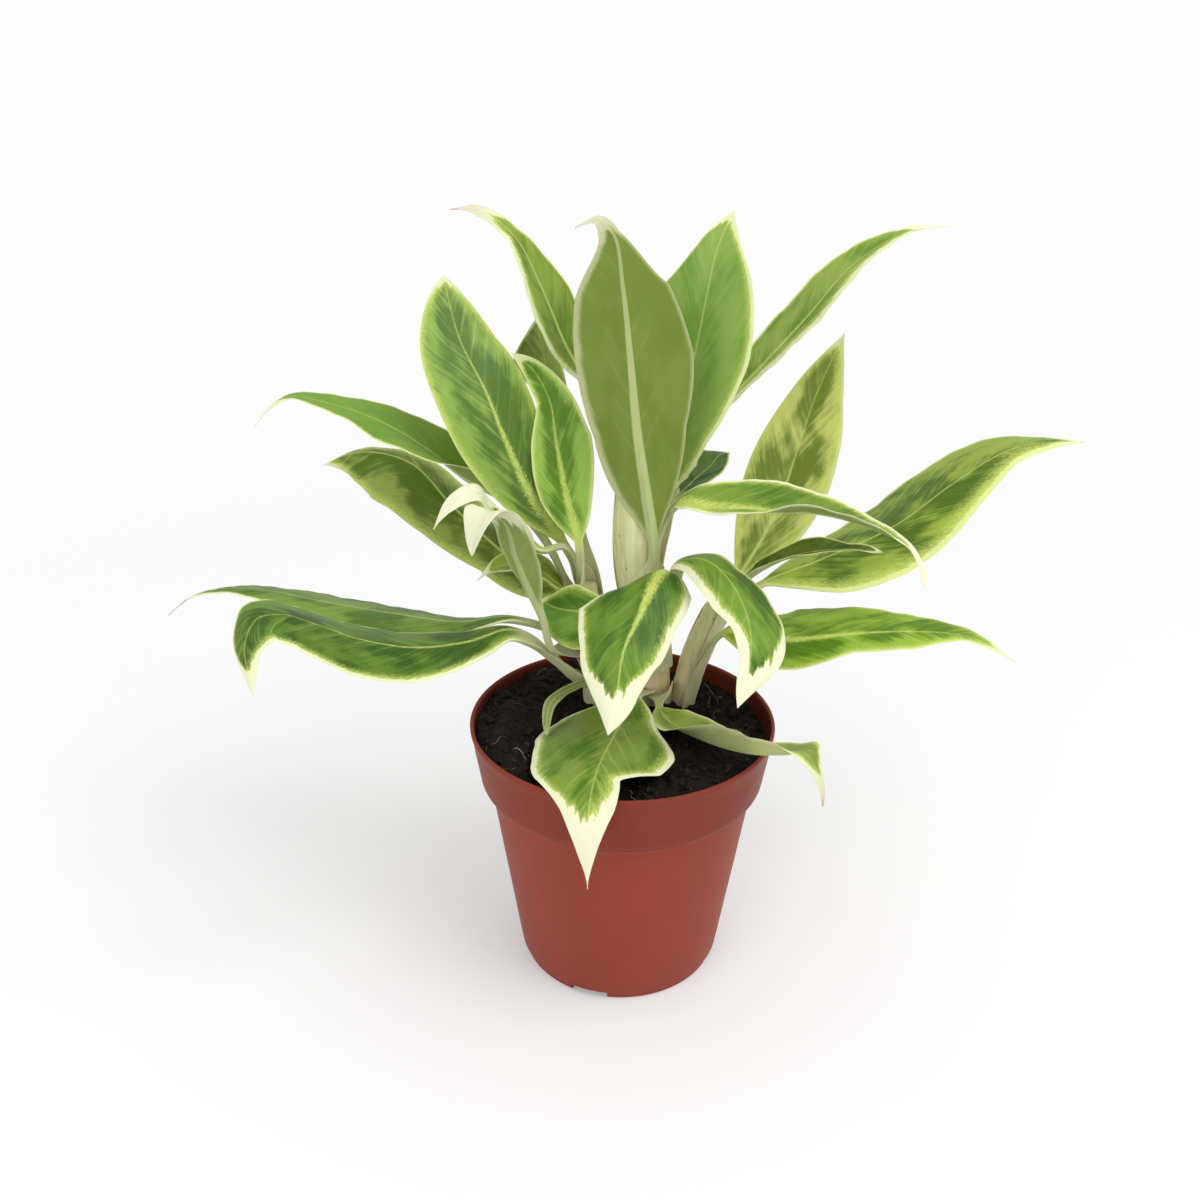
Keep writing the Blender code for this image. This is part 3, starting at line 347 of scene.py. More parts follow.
def resample(curve, share, shares):
    return np.stack([np.interp(shares, share, curve[:, k]) for k in range(curve.shape[1])], axis=1)


def directions(centres):
    """Unit tangents of a line of points."""
    tangents = np.gradient(centres, axis=0)
    return tangents / np.linalg.norm(tangents, axis=1)[:, None]


def cane_at(cane, height):
    """Centre and radius of a cane at a height."""
    curve, _, _, _ = smooth_path(CANES[cane])
    x, y, radius = [np.interp(height, curve[:, 2], curve[:, k]) for k in (0, 1, 3)]
    return np.array([x, y, height]), radius


def ease(x):
    x = np.clip(x, 0.0, 1.0)
    return x * x * (3.0 - 2.0 * x)


def along(value, shares, knots):
    """Spread one value, or one value for each spine point, over the stations."""
    if np.isscalar(value):
        return np.full(len(shares), float(value))
    lead = len(knots) - len(value)
    return np.interp(shares, knots, np.array([value[0]] * lead + list(value), dtype=float))


def two_sides(value):
    """The left side's value and the right side's, which a pair of lists holds apart."""
    if np.isscalar(value) or np.isscalar(value[0]):
        return value, value
    return value


class LeafForm:
    """The leaf's spine, frames and section, read at many stations for the shown blade."""

    def __init__(self, leaf, layer):
        low, high, azimuth = leaf.seat
        outward = np.array([math.cos(math.radians(azimuth)), math.sin(math.radians(azimuth)), 0.0])
        seats = []
        for height in (max(low - SHEATH_DROP, SHEATH_FOOT), low, high):
            centre, radius = cane_at(leaf.cane, height)
            seats.append(centre + outward * (radius + 2 * GAP + PETIOLE_HALF_WIDTH * PETIOLE_RISE))
        self.cane_radius = cane_at(leaf.cane, low)[1]
        self.hug_radius = self.cane_radius + SHEATH_LIFT + SHEATH_LAYER * layer
        curve, share, knots, self.length = smooth_path(seats + [np.array(p, float) for p in leaf.spine])
        self.shares = np.linspace(0.0, 1.0, int(self.length / STATION_LENGTH) + 4)
        self.centres = resample(curve, share, self.shares)
        self.start = knots[leaf.blade + len(seats)]
        self.seat_end = knots[2]
        self.set_section(leaf, knots)
        self.set_frames(leaf, azimuth)

    def set_section(self, leaf, knots):
        """Half widths, fold and curl of both sides: petiole and sheath first, then the blade's outline."""
        shares = self.shares
        grown = np.clip((shares - self.start) / (1.0 - self.start), 0.0, 1.0)
        before, after = leaf.swell
        widest = before / (before + after)
        outline = (np.maximum(grown, 1e-6) / widest)**before * ((1.0 - grown) / (1.0 - widest))**after
        outline = np.where(grown > 0.0, outline, 0.0)
        stalk = 1.0 - ease(grown / STALK_FADE)
        hug = 1.0 - ease((shares - self.seat_end) / max(self.start - self.seat_end, 0.05))
        narrowing = NARROW_SHARE + (1.0 - NARROW_SHARE) * leaf.width / BROAD_LEAF
        petiole = PETIOLE_HALF_WIDTH * leaf.stalk * narrowing
        stalk_width = petiole + (SHEATH_WRAP * self.cane_radius - petiole) * ease(hug)**1.5
        half = np.sqrt((outline * leaf.width / 2)**2 + (stalk_width * stalk)**2)
        half = np.maximum(half, LEAST_HALF_WIDTH * (1.0 - 0.7 * grown))
        keel = MIDRIB_KEEL * (1.0 - grown) + (PETIOLE_KEEL * leaf.stalk - MIDRIB_KEEL) * stalk
        self.keel = keel * (1.0 - 0.75 * hug) + LEAST_KEEL
        self.grown = grown
        self.hug = hug
        self.side = []
        for fold, curl, width in zip(two_sides(leaf.fold), two_sides(leaf.curl), (leaf.left, leaf.right)):
            width = half * along(width, shares, knots)
            fold = np.radians(along(fold, shares, knots)) * (1.0 - hug)
            curl = np.radians(along(curl, shares, knots)) * (1.0 - hug) + hug * width / self.hug_radius
            curl = np.where(np.abs(curl) < FLAT_CURL, FLAT_CURL, curl)
            self.side.append((width, fold, curl))
        self.roll = np.radians(along(leaf.roll, shares, knots)) * (1.0 - hug)

    def set_frames(self, leaf, azimuth):
        """Carry the side direction along the spine, turned on the petiole to the heading."""
        tangents = directions(self.centres)
        side = np.array([-math.sin(math.radians(azimuth)), math.cos(math.radians(azimuth)), 0.0])
        sides = []
        for tangent in tangents:
            side = side - side.dot(tangent) * tangent
            side = side / np.linalg.norm(side)
            sides.append(side)
        sides = np.array(sides)
        first = int(np.searchsorted(self.shares, self.start))
        heading = math.radians(leaf.heading)
        wanted = np.array([-math.sin(heading), math.cos(heading), 0.0])
        wanted = wanted - wanted.dot(tangents[first]) * tangents[first]
        turn = math.atan2(np.cross(sides[first], wanted).dot(tangents[first]), sides[first].dot(wanted))
        twist = turn * (1.0 - self.hug) + self.roll
        normals = np.cross(tangents, sides)
        self.sides = np.cos(twist)[:, None] * sides + np.sin(twist)[:, None] * normals
        self.normals = np.cross(tangents, self.sides)

    def point(self, across, lift):
        """Points at one place across the leaf, from -1 (right margin) to 1 (left margin)."""
        width, fold, curl = self.side[0] if across >= 0 else self.side[1]
        tilt = fold + curl * abs(across)
        x = width * (np.sin(tilt) - np.sin(fold)) / curl
        z = width * (np.cos(fold) - np.cos(tilt)) / curl
        if across:
            x = x - lift * np.sin(tilt)
            z = z + lift * np.cos(tilt)
        else:
            z = z + lift
        if across < 0:
            x = -x
        return self.centres + x[:, None] * self.sides + z[:, None] * self.normals


# ---------------- meshes

def circle(sides):
    return np.linspace(0.0, TURN, sides, endpoint=False)


def round_rings(centres, reach, turns, reference):
    """Rings of points square to a line of centres, at a reach for each ring or for each point."""
    tangents = directions(centres)
    across = np.cross(tangents, reference)
    across /= np.linalg.norm(across, axis=1)[:, None]
    depth = np.cross(tangents, across)
    spokes = np.cos(turns)[:, None] * across[:, None] + np.sin(turns)[:, None] * depth[:, None]
    return centres[:, None] + reach[..., None] * spokes


def corners(work, points):
    return [work.verts.new(point) for point in (points * MM).tolist()]


def corner_ring(work, reach, turns, height):
    """Corners round the pot's axis at a reach and a height in mm, each one value or one for each turn."""
    places = np.broadcast_arrays(reach * np.cos(turns), reach * np.sin(turns), height)
    return corners(work, np.stack(places, axis=1))


def bridge(work, rings):
    """Faces between closed rings of corners, each to the next; a ring may be a single point."""
    for low, high in zip(rings[:-1], rings[1:]):
        sides = max(len(low), len(high))
        for k in range(sides):
            after = (k + 1) % sides
            face = (low[k % len(low)], high[k % len(high)], high[after % len(high)], low[after % len(low)])
            work.faces.new(dict.fromkeys(face))


def finish(work, mesh):
    """Write built faces into a mesh, turned outward and smooth."""
    bmesh.ops.recalc_face_normals(work, faces=work.faces)
    work.to_mesh(mesh)
    work.free()
    mesh.shade_smooth()
    return mesh


def tube_mesh(name, rings, measures, sharp_angle):
    """Closed tube through rings of points in mm, with named measures held at its points."""
    rows, sides = rings.shape[:2]
    faces = []
    for i in range(rows - 1):
        for k in range(sides):
            after = (k + 1) % sides
            faces.append((i * sides + k, i * sides + after, (i + 1) * sides + after, (i + 1) * sides + k))
    faces.append(tuple(range(sides - 1, -1, -1)))
    faces.append(tuple((rows - 1) * sides + k for k in range(sides)))
    mesh = bpy.data.meshes.new(name)
    mesh.from_pydata((rings.reshape(-1, 3) * MM).tolist(), [], faces)
    for measure, values in measures.items():
        data = mesh.attributes.new(measure, "FLOAT", "POINT").data
        data.foreach_set("value", np.broadcast_to(values, (rows, sides)).reshape(-1).astype(np.float32))
    work = bmesh.new()
    work.from_mesh(mesh)
    finish(work, mesh)
    mesh.set_sharp_from_angle(angle=math.radians(sharp_angle))
    return mesh


def placed(name, data):
    """A new object of the scene."""
    thing = bpy.data.objects.new(name, data)
    bpy.context.scene.collection.objects.link(thing)
    return thing


def add_piece(name, mesh, material):
    piece = placed(name, mesh)
    mesh.materials.append(material)
    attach(piece, "root")
    return piece


# ---------------- leaf meshes

def blade_columns():
    """Places across the blade from the left margin to the right, closer towards the margins."""
    half = [math.sin(k / (ACROSS - 1) * math.pi / 2)**0.9 for k in range(ACROSS)]
    half[-1] = 1.0
    return half[::-1] + [-value for value in half[1:]]


def leaf_surface(leaf, layer):
    """Upper and lower point grids of a blade in mm, with the measures that colour it."""
    form = LeafForm(leaf, layer)
    grown, hug = form.grown, form.hug
    run = (form.shares - form.start) * form.length
    seed = sum(ord(letter) for letter in leaf.name)
    body = ease(grown / 0.12) * (1.0 - ease((grown - 0.9) / 0.1))
    thin = BLADE_HALF_THICKNESS * (1.0 - 0.45 * grown) * 0.75
    spread = min(1.0, 24.0 / max(leaf.width, 6.0))
    petiole = 0.35 * (1.0 - ease(grown / 0.2)) * (1.0 - 0.7 * hug)
    keel_reach = (0.7 + 0.9 * (1.0 - grown)) * leaf.stalk
    upper, lower, side_rows, edge_rows = [], [], [], []
    for across in blade_columns():
        width = form.side[0][0] if across >= 0 else form.side[1][0]
        rib = np.abs(across) * width
        edge = (1.0 - np.abs(across)) * width
        # the side veins leave the midrib at a slant and bend towards the tip
        vein = np.cos(TURN * (run - VEIN_SLANT * rib - VEIN_BEND * rib**2) / VEIN_SPACING)
        quilt = QUILT * vein * body * ease(rib / 2.0) * ease(edge / 3.0)
        wave = np.sin(TURN * run / WAVE_LENGTHS[0] + seed + (2.1 if across < 0 else 0.0))
        wave += 0.6 * np.sin(TURN * run / WAVE_LENGTHS[1] + 1.7 * seed + (0.9 if across < 0 else 0.0))
        wave *= WAVE * spread * abs(across)**3 * body
        groove = -GROOVE * np.exp(-(rib / 0.9)**2) * ease(grown * 8.0) * (1.0 - grown)
        keel = form.keel * np.exp(-(rib / keel_reach)**2)
        rounding = math.sqrt(max(0.0, 1.0 - abs(across)**14)) * 0.8 + 0.2
        upper.append(form.point(across, quilt + wave + groove + (thin + petiole) * rounding))
        lower.append(form.point(across, quilt + wave - (thin + keel * (0.4 + 0.6 * rounding)) * rounding))
        side_rows.append(across * width)
        edge_rows.append(edge)
    return form, run, [np.stack(rows, axis=1) for rows in (upper, lower, side_rows, edge_rows)]


def leaf_mesh(leaf, layer):
    """Closed thin blade: upper grid, lower grid, the margins between them, base and tip."""
    form, run, (upper, lower, side, edge) = leaf_surface(leaf, layer)
    measures = {
        "run": run[:, None],
        "side": np.concatenate([side, side[:, ::-1]], axis=1),
        "edge": np.concatenate([edge, edge[:, ::-1]], axis=1),
        "grown": form.grown[:, None],
        "hug": form.hug[:, None],
        "upper": np.concatenate([np.ones_like(side), np.zeros_like(side)], axis=1),
    }
    rings = np.concatenate([upper, lower[:, ::-1]], axis=1)
    return tube_mesh(leaf.name + "_blade", rings, measures, BLADE_SHARP_ANGLE)


# ---------------- node materials

class Wire:
    """One value in a material's graph: arithmetic on it adds the math nodes."""

    def __init__(self, graph, socket):
        self.graph = graph
        self.socket = socket

    def __add__(self, other):
        return self.graph.math("ADD", self, other)

    def __sub__(self, other):
        return self.graph.math("SUBTRACT", self, other)

    def __rsub__(self, other):
        return self.graph.math("SUBTRACT", other, self)

    def __mul__(self, other):
        return self.graph.math("MULTIPLY", self, other)

    def __truediv__(self, other):
        return self.graph.math("DIVIDE", self, other)

    def __pow__(self, other):
        return self.graph.math("POWER", self, other)

    def __abs__(self):
        return self.graph.math("ABSOLUTE", self)


class Graph:
    """Short names for the nodes of one material."""

    def __init__(self, name):
        self.material = bpy.data.materials.new(name)
        self.material.use_nodes = True
        self.tree = self.material.node_tree
        self.shader = self.tree.nodes["Principled BSDF"]
        self.output = self.tree.nodes["Material Output"]

    def put(self, socket, value):
        if isinstance(value, Wire):
            self.tree.links.new(value.socket, socket)
        else:
            socket.default_value = value

    def node(self, kind, *values, output=0, **settings):
        """Add a node, give its inputs their values in order, and hand back one of its outputs."""
        node = self.tree.nodes.new("ShaderNode" + kind)
        for name, setting in settings.items():
            setattr(node, name, setting)
        for socket, value in zip(node.inputs, values):
            self.put(socket, value)
        return Wire(self, node.outputs[output])

    def math(self, operation, *values):
        return self.node("Math", *values, operation=operation)

    def span(self, value, low, high, to_low=0.0, to_high=1.0):
        """Smooth step of a value from low to high."""
        return self.node("MapRange", value, low, high, to_low, to_high, interpolation_type="SMOOTHSTEP")

    def here(self, output="Object"):
        return self.node("TexCoord", output=output)

    def noise(self, vector, detail, roughness=0.5):
        return self.node("TexNoise", vector, 0.0, 1.0, detail, roughness, output="Fac")

    def grain(self, pitch, detail, roughness=0.5):
        """Noise in the piece's own space, with so many periods to a metre along each axis."""
        return self.noise(self.node("Mapping", self.here(), (0, 0, 0), (0, 0, 0), pitch), detail, roughness)

    def mix(self, share, a, b):
        node = self.tree.nodes.new("ShaderNodeMix")
        node.data_type = "RGBA"
        for number, value in ((0, share), (6, a), (7, b)):
            self.put(node.inputs[number], value)
        return Wire(self, node.outputs[2])

    def surface(self, colour, roughness, gloss):
        self.put(self.shader.inputs["Base Color"], colour)
        self.put(self.shader.inputs["Roughness"], roughness)
        self.shader.inputs["Specular IOR Level"].default_value = gloss

    def bump(self, height, distance, strength):
        node = self.tree.nodes.new("ShaderNodeBump")
        node.inputs["Distance"].default_value = distance
        node.inputs["Strength"].default_value = strength
        self.put(node.inputs["Height"], height)
        self.tree.links.new(node.outputs[0], self.shader.inputs["Normal"])

    def overlay(self, share, shader):
        """Show a share of another shader over the main one."""
        blend = self.tree.nodes.new("ShaderNodeMixShader")
        self.put(blend.inputs[0], share)
        self.tree.links.new(self.shader.outputs[0], blend.inputs[1])
        self.put(blend.inputs[2], shader)
        self.tree.links.new(blend.outputs[0], self.output.inputs["Surface"])


def rgb(red, green, blue):
    """An 8-bit display colour as a linear one."""
    linear = []
    for value in (red, green, blue):
        value /= 255.0
        linear.append(value / 12.92 if value <= 0.04045 else ((value + 0.055) / 1.055)**2.4)
    return (*linear, 1.0)


# ---------------- leaves

LIGHT_GREEN = rgb(170, 198, 98)
VEIN_GREEN = rgb(176, 202, 112)
LIME = rgb(220, 234, 120)
RIB_PALE = rgb(202, 220, 132)
TIP_CREAM = rgb(251, 250, 218)
FADED_CREAM = rgb(226, 217, 192)
BURNT = rgb(176, 128, 96)
UNDER_PALE = (190, 200, 130)
UNDER_RIB = rgb(190, 201, 138)
PETIOLE_GREEN = rgb(204, 206, 154)
SHEATH_CREAM = rgb(224, 220, 176)
PLANT_GLOSS = 0.25
TRANSLUCENCE = 0.16
SEED_STEP = 10.0        # apart in the noise, so that no two leaves have the same pattern


def leaf_material(name, look, seed):
    """Blade colour from its own measures: run along the leaf, distance to midrib and margin."""
    g = Graph(name)
    run, side, edge, grown, hug, upper = (g.node("Attribute", attribute_name=measure, output="Fac")
                                          for measure in ("run", "side", "edge", "grown", "hug", "upper"))
    rib = abs(side)

    def field(lead, lengthwise, crosswise, shift, detail, roughness=0.55):
        place = g.node("CombineXYZ", lead * lengthwise, side * crosswise, seed + shift)
        return g.noise(place, detail, roughness)

    def by_side(left_and_right):
        return g.span(side, -0.01, 0.01, left_and_right[1], left_and_right[0])

    # phase stays the same along a side vein, which leaves the midrib and sweeps towards the tip
    wander = field(run, 0.06, 0.06, 0.0, 2.0)
    phase = run - rib * VEIN_SLANT - rib * rib * VEIN_BEND + wander * 6.0
    cloud = field(run, 0.05, 0.09, 5.3, 2.0)
    streak = field(phase, 0.34, 0.08, 3.1, 4.0, 0.62)
    grain = field(phase, 1.7, 0.45, 7.7, 3.0, 0.65)
    spark = field(phase, 1.9, 1.3, 29.0, 2.0, 0.7)

    # broad dark and light patches, then dapples that follow the veins
    inner = edge / (edge + rib + 0.01)
    core = g.span(inner, 0.15, 0.75, -0.6, 1.0) * g.span(grown, 0.10, 0.45, 0.4, 1.0)
    shade = cloud * 0.7 + streak * 0.3 - (grown - 0.5) * look.drift - core * (0.14 * look.core)
    green = g.mix(g.span(shade, 0.38, 0.58), rgb(*look.deep), rgb(*look.green))
    dapple = g.span(streak * 0.6 + grain * 0.4, 0.46, 0.70) * g.span(edge, 11.0, 1.5, 0.5, 1.0)
    green = g.mix(dapple * (0.8 * look.mottle), green, LIGHT_GREEN)

    # side veins, each with its own strength
    apart = abs(g.math("FRACT", phase / VEIN_SPACING) - 0.5) * VEIN_SPACING
    vein = g.span(apart, 1.5, 0.1) * g.span(rib, 16.0, 1.0, 0.1, 1.0) * g.span(cloud, 0.40, 0.56, 0.25, 1.0)
    green = g.mix(vein * (0.55 * look.veins), green, VEIN_GREEN)

    # yellow band round the base of the midrib, broken into speckles, and the midrib itself
    band = g.span(grown, 0.85, 0.0)**1.3 * look.heart * (spark * 4.4 - 1.2)
    band = g.span(rib - band, 0.6, -0.5) * g.span(grain, 0.36, 0.56, 0.45, 0.9)
    green = g.mix(band, green, LIME)
    midrib = g.span(rib / g.span(grown, 0.0, 1.0, 0.9, 0.3), 1.3, 0.2)
    green = g.mix(midrib * g.span(grown, 0.1, 0.9, *look.rib), green, RIB_PALE)

    # cream margin with jags that follow the veins, a lime zone inside it, fingers at the tip
    jag = field(phase, 0.8, 0.3, 11.9, 3.0)
    finger = field(run, 0.07, 0.6, 17.3, 2.0)
    tip_pull = g.span(grown, look.tip - 0.10, look.tip + 0.10)
    rim = by_side(look.rim) * (jag * 1.4 + 0.3) * g.span(grown, 0.0, 0.16, 0.5, 1.0)
    rim = rim + tip_pull * (finger * 16.0 - 2.5)
    inside = edge - (rim + g.span(grown, look.tip + 0.05, look.tip + 0.25, 0.0, 20.0))
    lime = g.span(inside / by_side(look.fringe) + (spark * 2.4 - 1.2), 1.0, -0.3)
    tip_tint = g.mix(1.5 * look.burn, TIP_CREAM, FADED_CREAM)
    top = g.mix(lime * 0.85, green, LIME)
    top = g.mix(g.span(inside, 0.4, -0.3), top, g.mix(tip_pull, rgb(*look.margin), tip_tint))

    # underside: matt olive with a pale raised rib
    under_pale = rgb(*(0.88 * value + 0.12 * pale for value, pale in zip(look.under, UNDER_PALE)))
    below = g.mix(g.span(cloud, 0.35, 0.65), rgb(*look.under), under_pale)
    below = g.mix(vein * 0.10, below, UNDER_RIB)
    under_rib = g.span(rib / g.span(grown, 0.0, 1.0, 2.2, 0.4), 1.15, 0.75)
    below = g.mix(under_rib * g.span(grown, 0.3, 1.0, 1.0, 0.5), below, UNDER_RIB)
    beige = rgb(*(0.90 * value for value in look.margin))
    below = g.mix(g.span(inside, 1.6, -0.8) * 0.9, below, g.mix(tip_pull, beige, tip_tint))

    face = g.mix(upper, below, top)
    face = g.mix(g.span(grown, 0.955, 0.995) * look.burn, face, BURNT)
    stalk = g.mix(g.span(hug, 0.0, 0.8), PETIOLE_GREEN, SHEATH_CREAM)
    fleck = field(run, 0.12, 1.6, 23.0, 3.0)
    stalk = g.mix(g.span(fleck, 0.45, 0.75) * 0.3, stalk, rgb(*look.green))
    face = g.mix(g.span(run, 3.0, -7.0), face, stalk)
    g.surface(face, (1.0 - upper) * 0.2 + (streak * 0.16 + 0.36), PLANT_GLOSS)
    g.bump(vein * -0.6 + grain * 0.3, 0.00012, 0.6)
    g.overlay(TRANSLUCENCE, g.node("BsdfTranslucent", g.mix(0.4, face, LIGHT_GREEN)))
    return g.material


def add_leaves():
    for number, leaf in enumerate(LEAVES):
        material = leaf_material(leaf.name + "_surface", LOOKS[leaf.name], SEED_STEP * number)
        piece = add_piece(leaf.name + "_blade", leaf_mesh(leaf, number % LAYERS), material)
        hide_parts(leaf.name)


# ---------------- canes

CANE_SIDES = 48
CANE_RING_STEP = 1.2
SEAM_HEIGHT = 0.04      # rise of an old sheath's edge as a share of the cane's radius
SEAM_FADE = 1.1         # turn in radians over which that runs out
SEAM_END = 3.0          # length over which a seam starts and ends
FLANK_END = 14.0        # and a filled side
NODE_HEIGHT = 0.03      # rise of the ring that a fallen leaf left, as a share of the radius
NODE_REACH = 0.9
NODE_SPACING = 17.0

# edges of old sheaths: start in degrees, climb in radians, lower and upper end in mm
SEAMS = {
    "main": [(200.0, 0.9, 12.0, 62.0), (330.0, -0.7, 40.0, 122.0), (80.0, 0.8, 50.0, 118.0)],
    "left": [(230.0, 0.8, 10.0, 48.0), (20.0, -0.6, 26.0, 66.0)],
    "right": [(300.0, -0.9, 8.0, 46.0), (150.0, 0.7, 20.0, 66.0)],
}
# sides that an old sheath fills out: middle in degrees, spread in radians, lower and upper end and
# height in mm
FLANKS = {
    "main": [(-12.0, 0.55, 40.0, 112.0, 1.1)],
    "left": [],
    "right": [],
}


def cane_mesh(name, points, seams, flanks):
    """Cane wrapped in old sheaths: each seam is a thin overlapping edge that winds upwards."""
    curve, share, _, length = smooth_path(points)
    count = int(length / CANE_RING_STEP) + 2
    stations = resample(curve, share, np.linspace(0.0, 1.0, count))
    rise = np.linspace(0.0, length, count)[:, None]
    turns = circle(CANE_SIDES)
    scale = 1.0 + NODE_HEIGHT * np.exp(-((np.mod(rise, NODE_SPACING) - NODE_SPACING / 2) / NODE_REACH)**2)
    scale = scale + 0.012 * np.sin(3 * turns + rise / 9.0) + 0.006 * np.sin(7 * turns - rise / 5.0)
    for start, climb, low, high in seams:
        behind = np.mod(turns - math.radians(start) - climb * rise / length, TURN)
        window = ease((rise - low) / SEAM_END) * (1.0 - ease((rise - high) / SEAM_END))
        scale = scale + SEAM_HEIGHT * window * np.exp(-behind / SEAM_FADE)
    reach = stations[:, 3:] * scale
    for middle, spread, low, high, height in flanks:
        aside = np.mod(turns - math.radians(middle) + math.pi, TURN) - math.pi
        window = ease((rise - low) / FLANK_END) * ease((high - rise) / FLANK_END)
        reach = reach + height * window * np.exp(-(aside / spread)**2)
    rings = round_rings(stations[:, :3], reach, turns, (0.0, 1.0, 0.0))
    return tube_mesh(name, rings, {"rise": rise}, SHARP_ANGLE)


def cane_material():
    g = Graph("cane_surface")
    rise = g.node("Attribute", attribute_name="rise", output="Fac")
    fibres = g.grain((900.0, 900.0, 26.0), 4.0, 0.6)
    broad = g.grain((120.0, 120.0, 30.0), 3.0)
    colour = g.mix(g.span(fibres, 0.35, 0.7), rgb(212, 209, 156), rgb(228, 223, 178))
    colour = g.mix(g.span(broad, 0.45, 0.7) * 0.5, colour, rgb(188, 197, 128))
    # pinker and lighter low on the cane: the pink is the cane's own tint, and the lightening is painted
    # light against the shade of the leaves above
    pink_tint_and_painted_light = g.span(rise, 56.0, 26.0) * g.span(broad, 0.3, 0.6, 0.5, 1.0)
    colour = g.mix(pink_tint_and_painted_light * 0.75, colour, rgb(244, 214, 184))
    band = g.grain((330.0, 330.0, 7.0), 2.0, 0.4)
    colour = g.mix(g.span(band, 0.56, 0.66) * 0.55, colour, rgb(206, 208, 112))
    colour = g.mix(g.span(band, 0.44, 0.34) * 0.4, colour, rgb(182, 194, 130))
    speck = g.grain((700.0, 700.0, 330.0), 1.0)
    colour = g.mix(g.span(speck, 0.76, 0.80) * 0.8, colour, rgb(84, 60, 38))
    g.surface(colour, fibres * 0.2 + 0.38, PLANT_GLOSS)
    g.bump(broad * 0.6 + fibres, 0.0002, 0.4)
    return g.material


def add_canes():
    surface = cane_material()
    for cane, points in CANES.items():
        name = cane + "_sheathed_cane"
        piece = add_piece(name, cane_mesh(name, points, SEAMS[cane], FLANKS[cane]), surface)
        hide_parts(cane + "_cane")


# ---------------- pot

POT_SIDES = 240
RIM_HEIGHT = 107.0
SLOT_COUNT = 4
SLOT_AZIMUTH = -107.0
SLOT_HALF_ANGLE = 10.8
SLOT_HEIGHT = 3.4
SLOT_REACH = (32.0, 46.0)
SLOT_STEPS = 8

# outer wall (radius, height) from the lip down, then the inside from the floor up
POT_OUTSIDE = [(59.1, 106.9), (59.5, 107.0), (59.85, 106.8), (60.0, 106.4), (59.95, 105.4), (59.75, 104.6),
               (59.3, 103.8), (58.6, 98.0), (57.6, 92.0), (56.75, 86.5), (56.45, 84.6), (56.1, 83.6),
               (55.2, 82.6), (53.6, 81.2), (52.8, 80.3), (52.45, 79.2), (52.3, 78.2), (50.2, 64.0),
               (47.9, 48.0), (45.5, 32.0), (43.2, 16.0), (41.4, 4.0), (41.15, 3.4), (40.65, 3.1),
               (40.55, 2.8), (40.15, 1.2), (40.05, 0.6), (39.7, 0.15), (39.2, 0.0)]
POT_INSIDE = [(38.9, 1.6), (39.8, 3.4), (51.3, 79.6), (55.0, 84.2), (57.9, 103.4), (58.6, 106.4),
              (58.8, 106.8)]


def pot_mesh():
    """Turned shell with a slightly uneven wall, which the slots are cut from later."""
    turns = circle(POT_SIDES)
    uneven = 0.10 * np.sin(2 * turns + 0.7) + 0.05 * np.sin(5 * turns + 2.0) - 0.15
    work = bmesh.new()
    rings = [corner_ring(work, 0.0, turns[:1], POT_INSIDE[0][1])]
    for radius, height in POT_INSIDE + POT_OUTSIDE:
        rings.append(corner_ring(work, radius + uneven * (height / RIM_HEIGHT)**2, turns, height))
    rings.append(corner_ring(work, 0.0, turns[:1], POT_OUTSIDE[-1][1]))
    bridge(work, rings)
    return finish(work, bpy.data.meshes.new("pot_shell"))


def slot_cutter(azimuth):
    """Wedge over the foot of the wall: an arc of the slot's angle that reaches below the floor."""
    near, far = SLOT_REACH
    work = bmesh.new()
    sections = []
    for share in np.linspace(-1.0, 1.0, SLOT_STEPS + 1):
        turn = math.radians(azimuth + SLOT_HALF_ANGLE * share)
        sections.append(corner_ring(work, np.array([near, near, far, far]), turn,
                                    np.array([-2.0, SLOT_HEIGHT, SLOT_HEIGHT, -2.0])))
    bridge(work, sections)
    work.faces.new(sections[0])
    work.faces.new(sections[-1])
    return placed("slot_cutter", finish(work, bpy.data.meshes.new("slot_cutter")))


def pot_material():
    g = Graph("pot_plastic")
    cloud = g.grain((22.0, 22.0, 14.0), 3.0)
    grain = g.grain((1500.0, 1500.0, 1500.0), 2.0)
    colour = g.mix(g.span(cloud, 0.3, 0.7), rgb(140, 62, 45), rgb(147, 65, 48))
    # painted shade: the collar above the step is darkened, like the shade under the leaves
    collar_shade = g.span(g.node("SeparateXYZ", g.here(), output="Z"), 0.080, 0.085)
    colour = g.mix(collar_shade * 0.6, colour, rgb(118, 50, 35))
    scuff = g.grain((60.0, 60.0, 900.0), 3.0)
    colour = g.mix(g.span(scuff, 0.66, 0.74) * 0.10, colour, rgb(180, 116, 96))
    # painted shade: faces that look towards the pot's axis, on the inner wall, are darkened
    outward = g.node("VectorMath", g.here(), g.here("Normal"), operation="DOT_PRODUCT", output="Value")
    inner_wall_shade = g.span(outward, -0.01, -0.03) * g.span(cloud, 0.2, 0.8, 1.0, 0.6)
    colour = g.mix(inner_wall_shade * 0.9, colour, rgb(60, 25, 18))
    g.surface(colour, cloud * 0.16 + 0.36, 0.10)
    g.bump(grain * 0.4 + cloud * 2.0, 0.00012, 0.5)
    return g.material


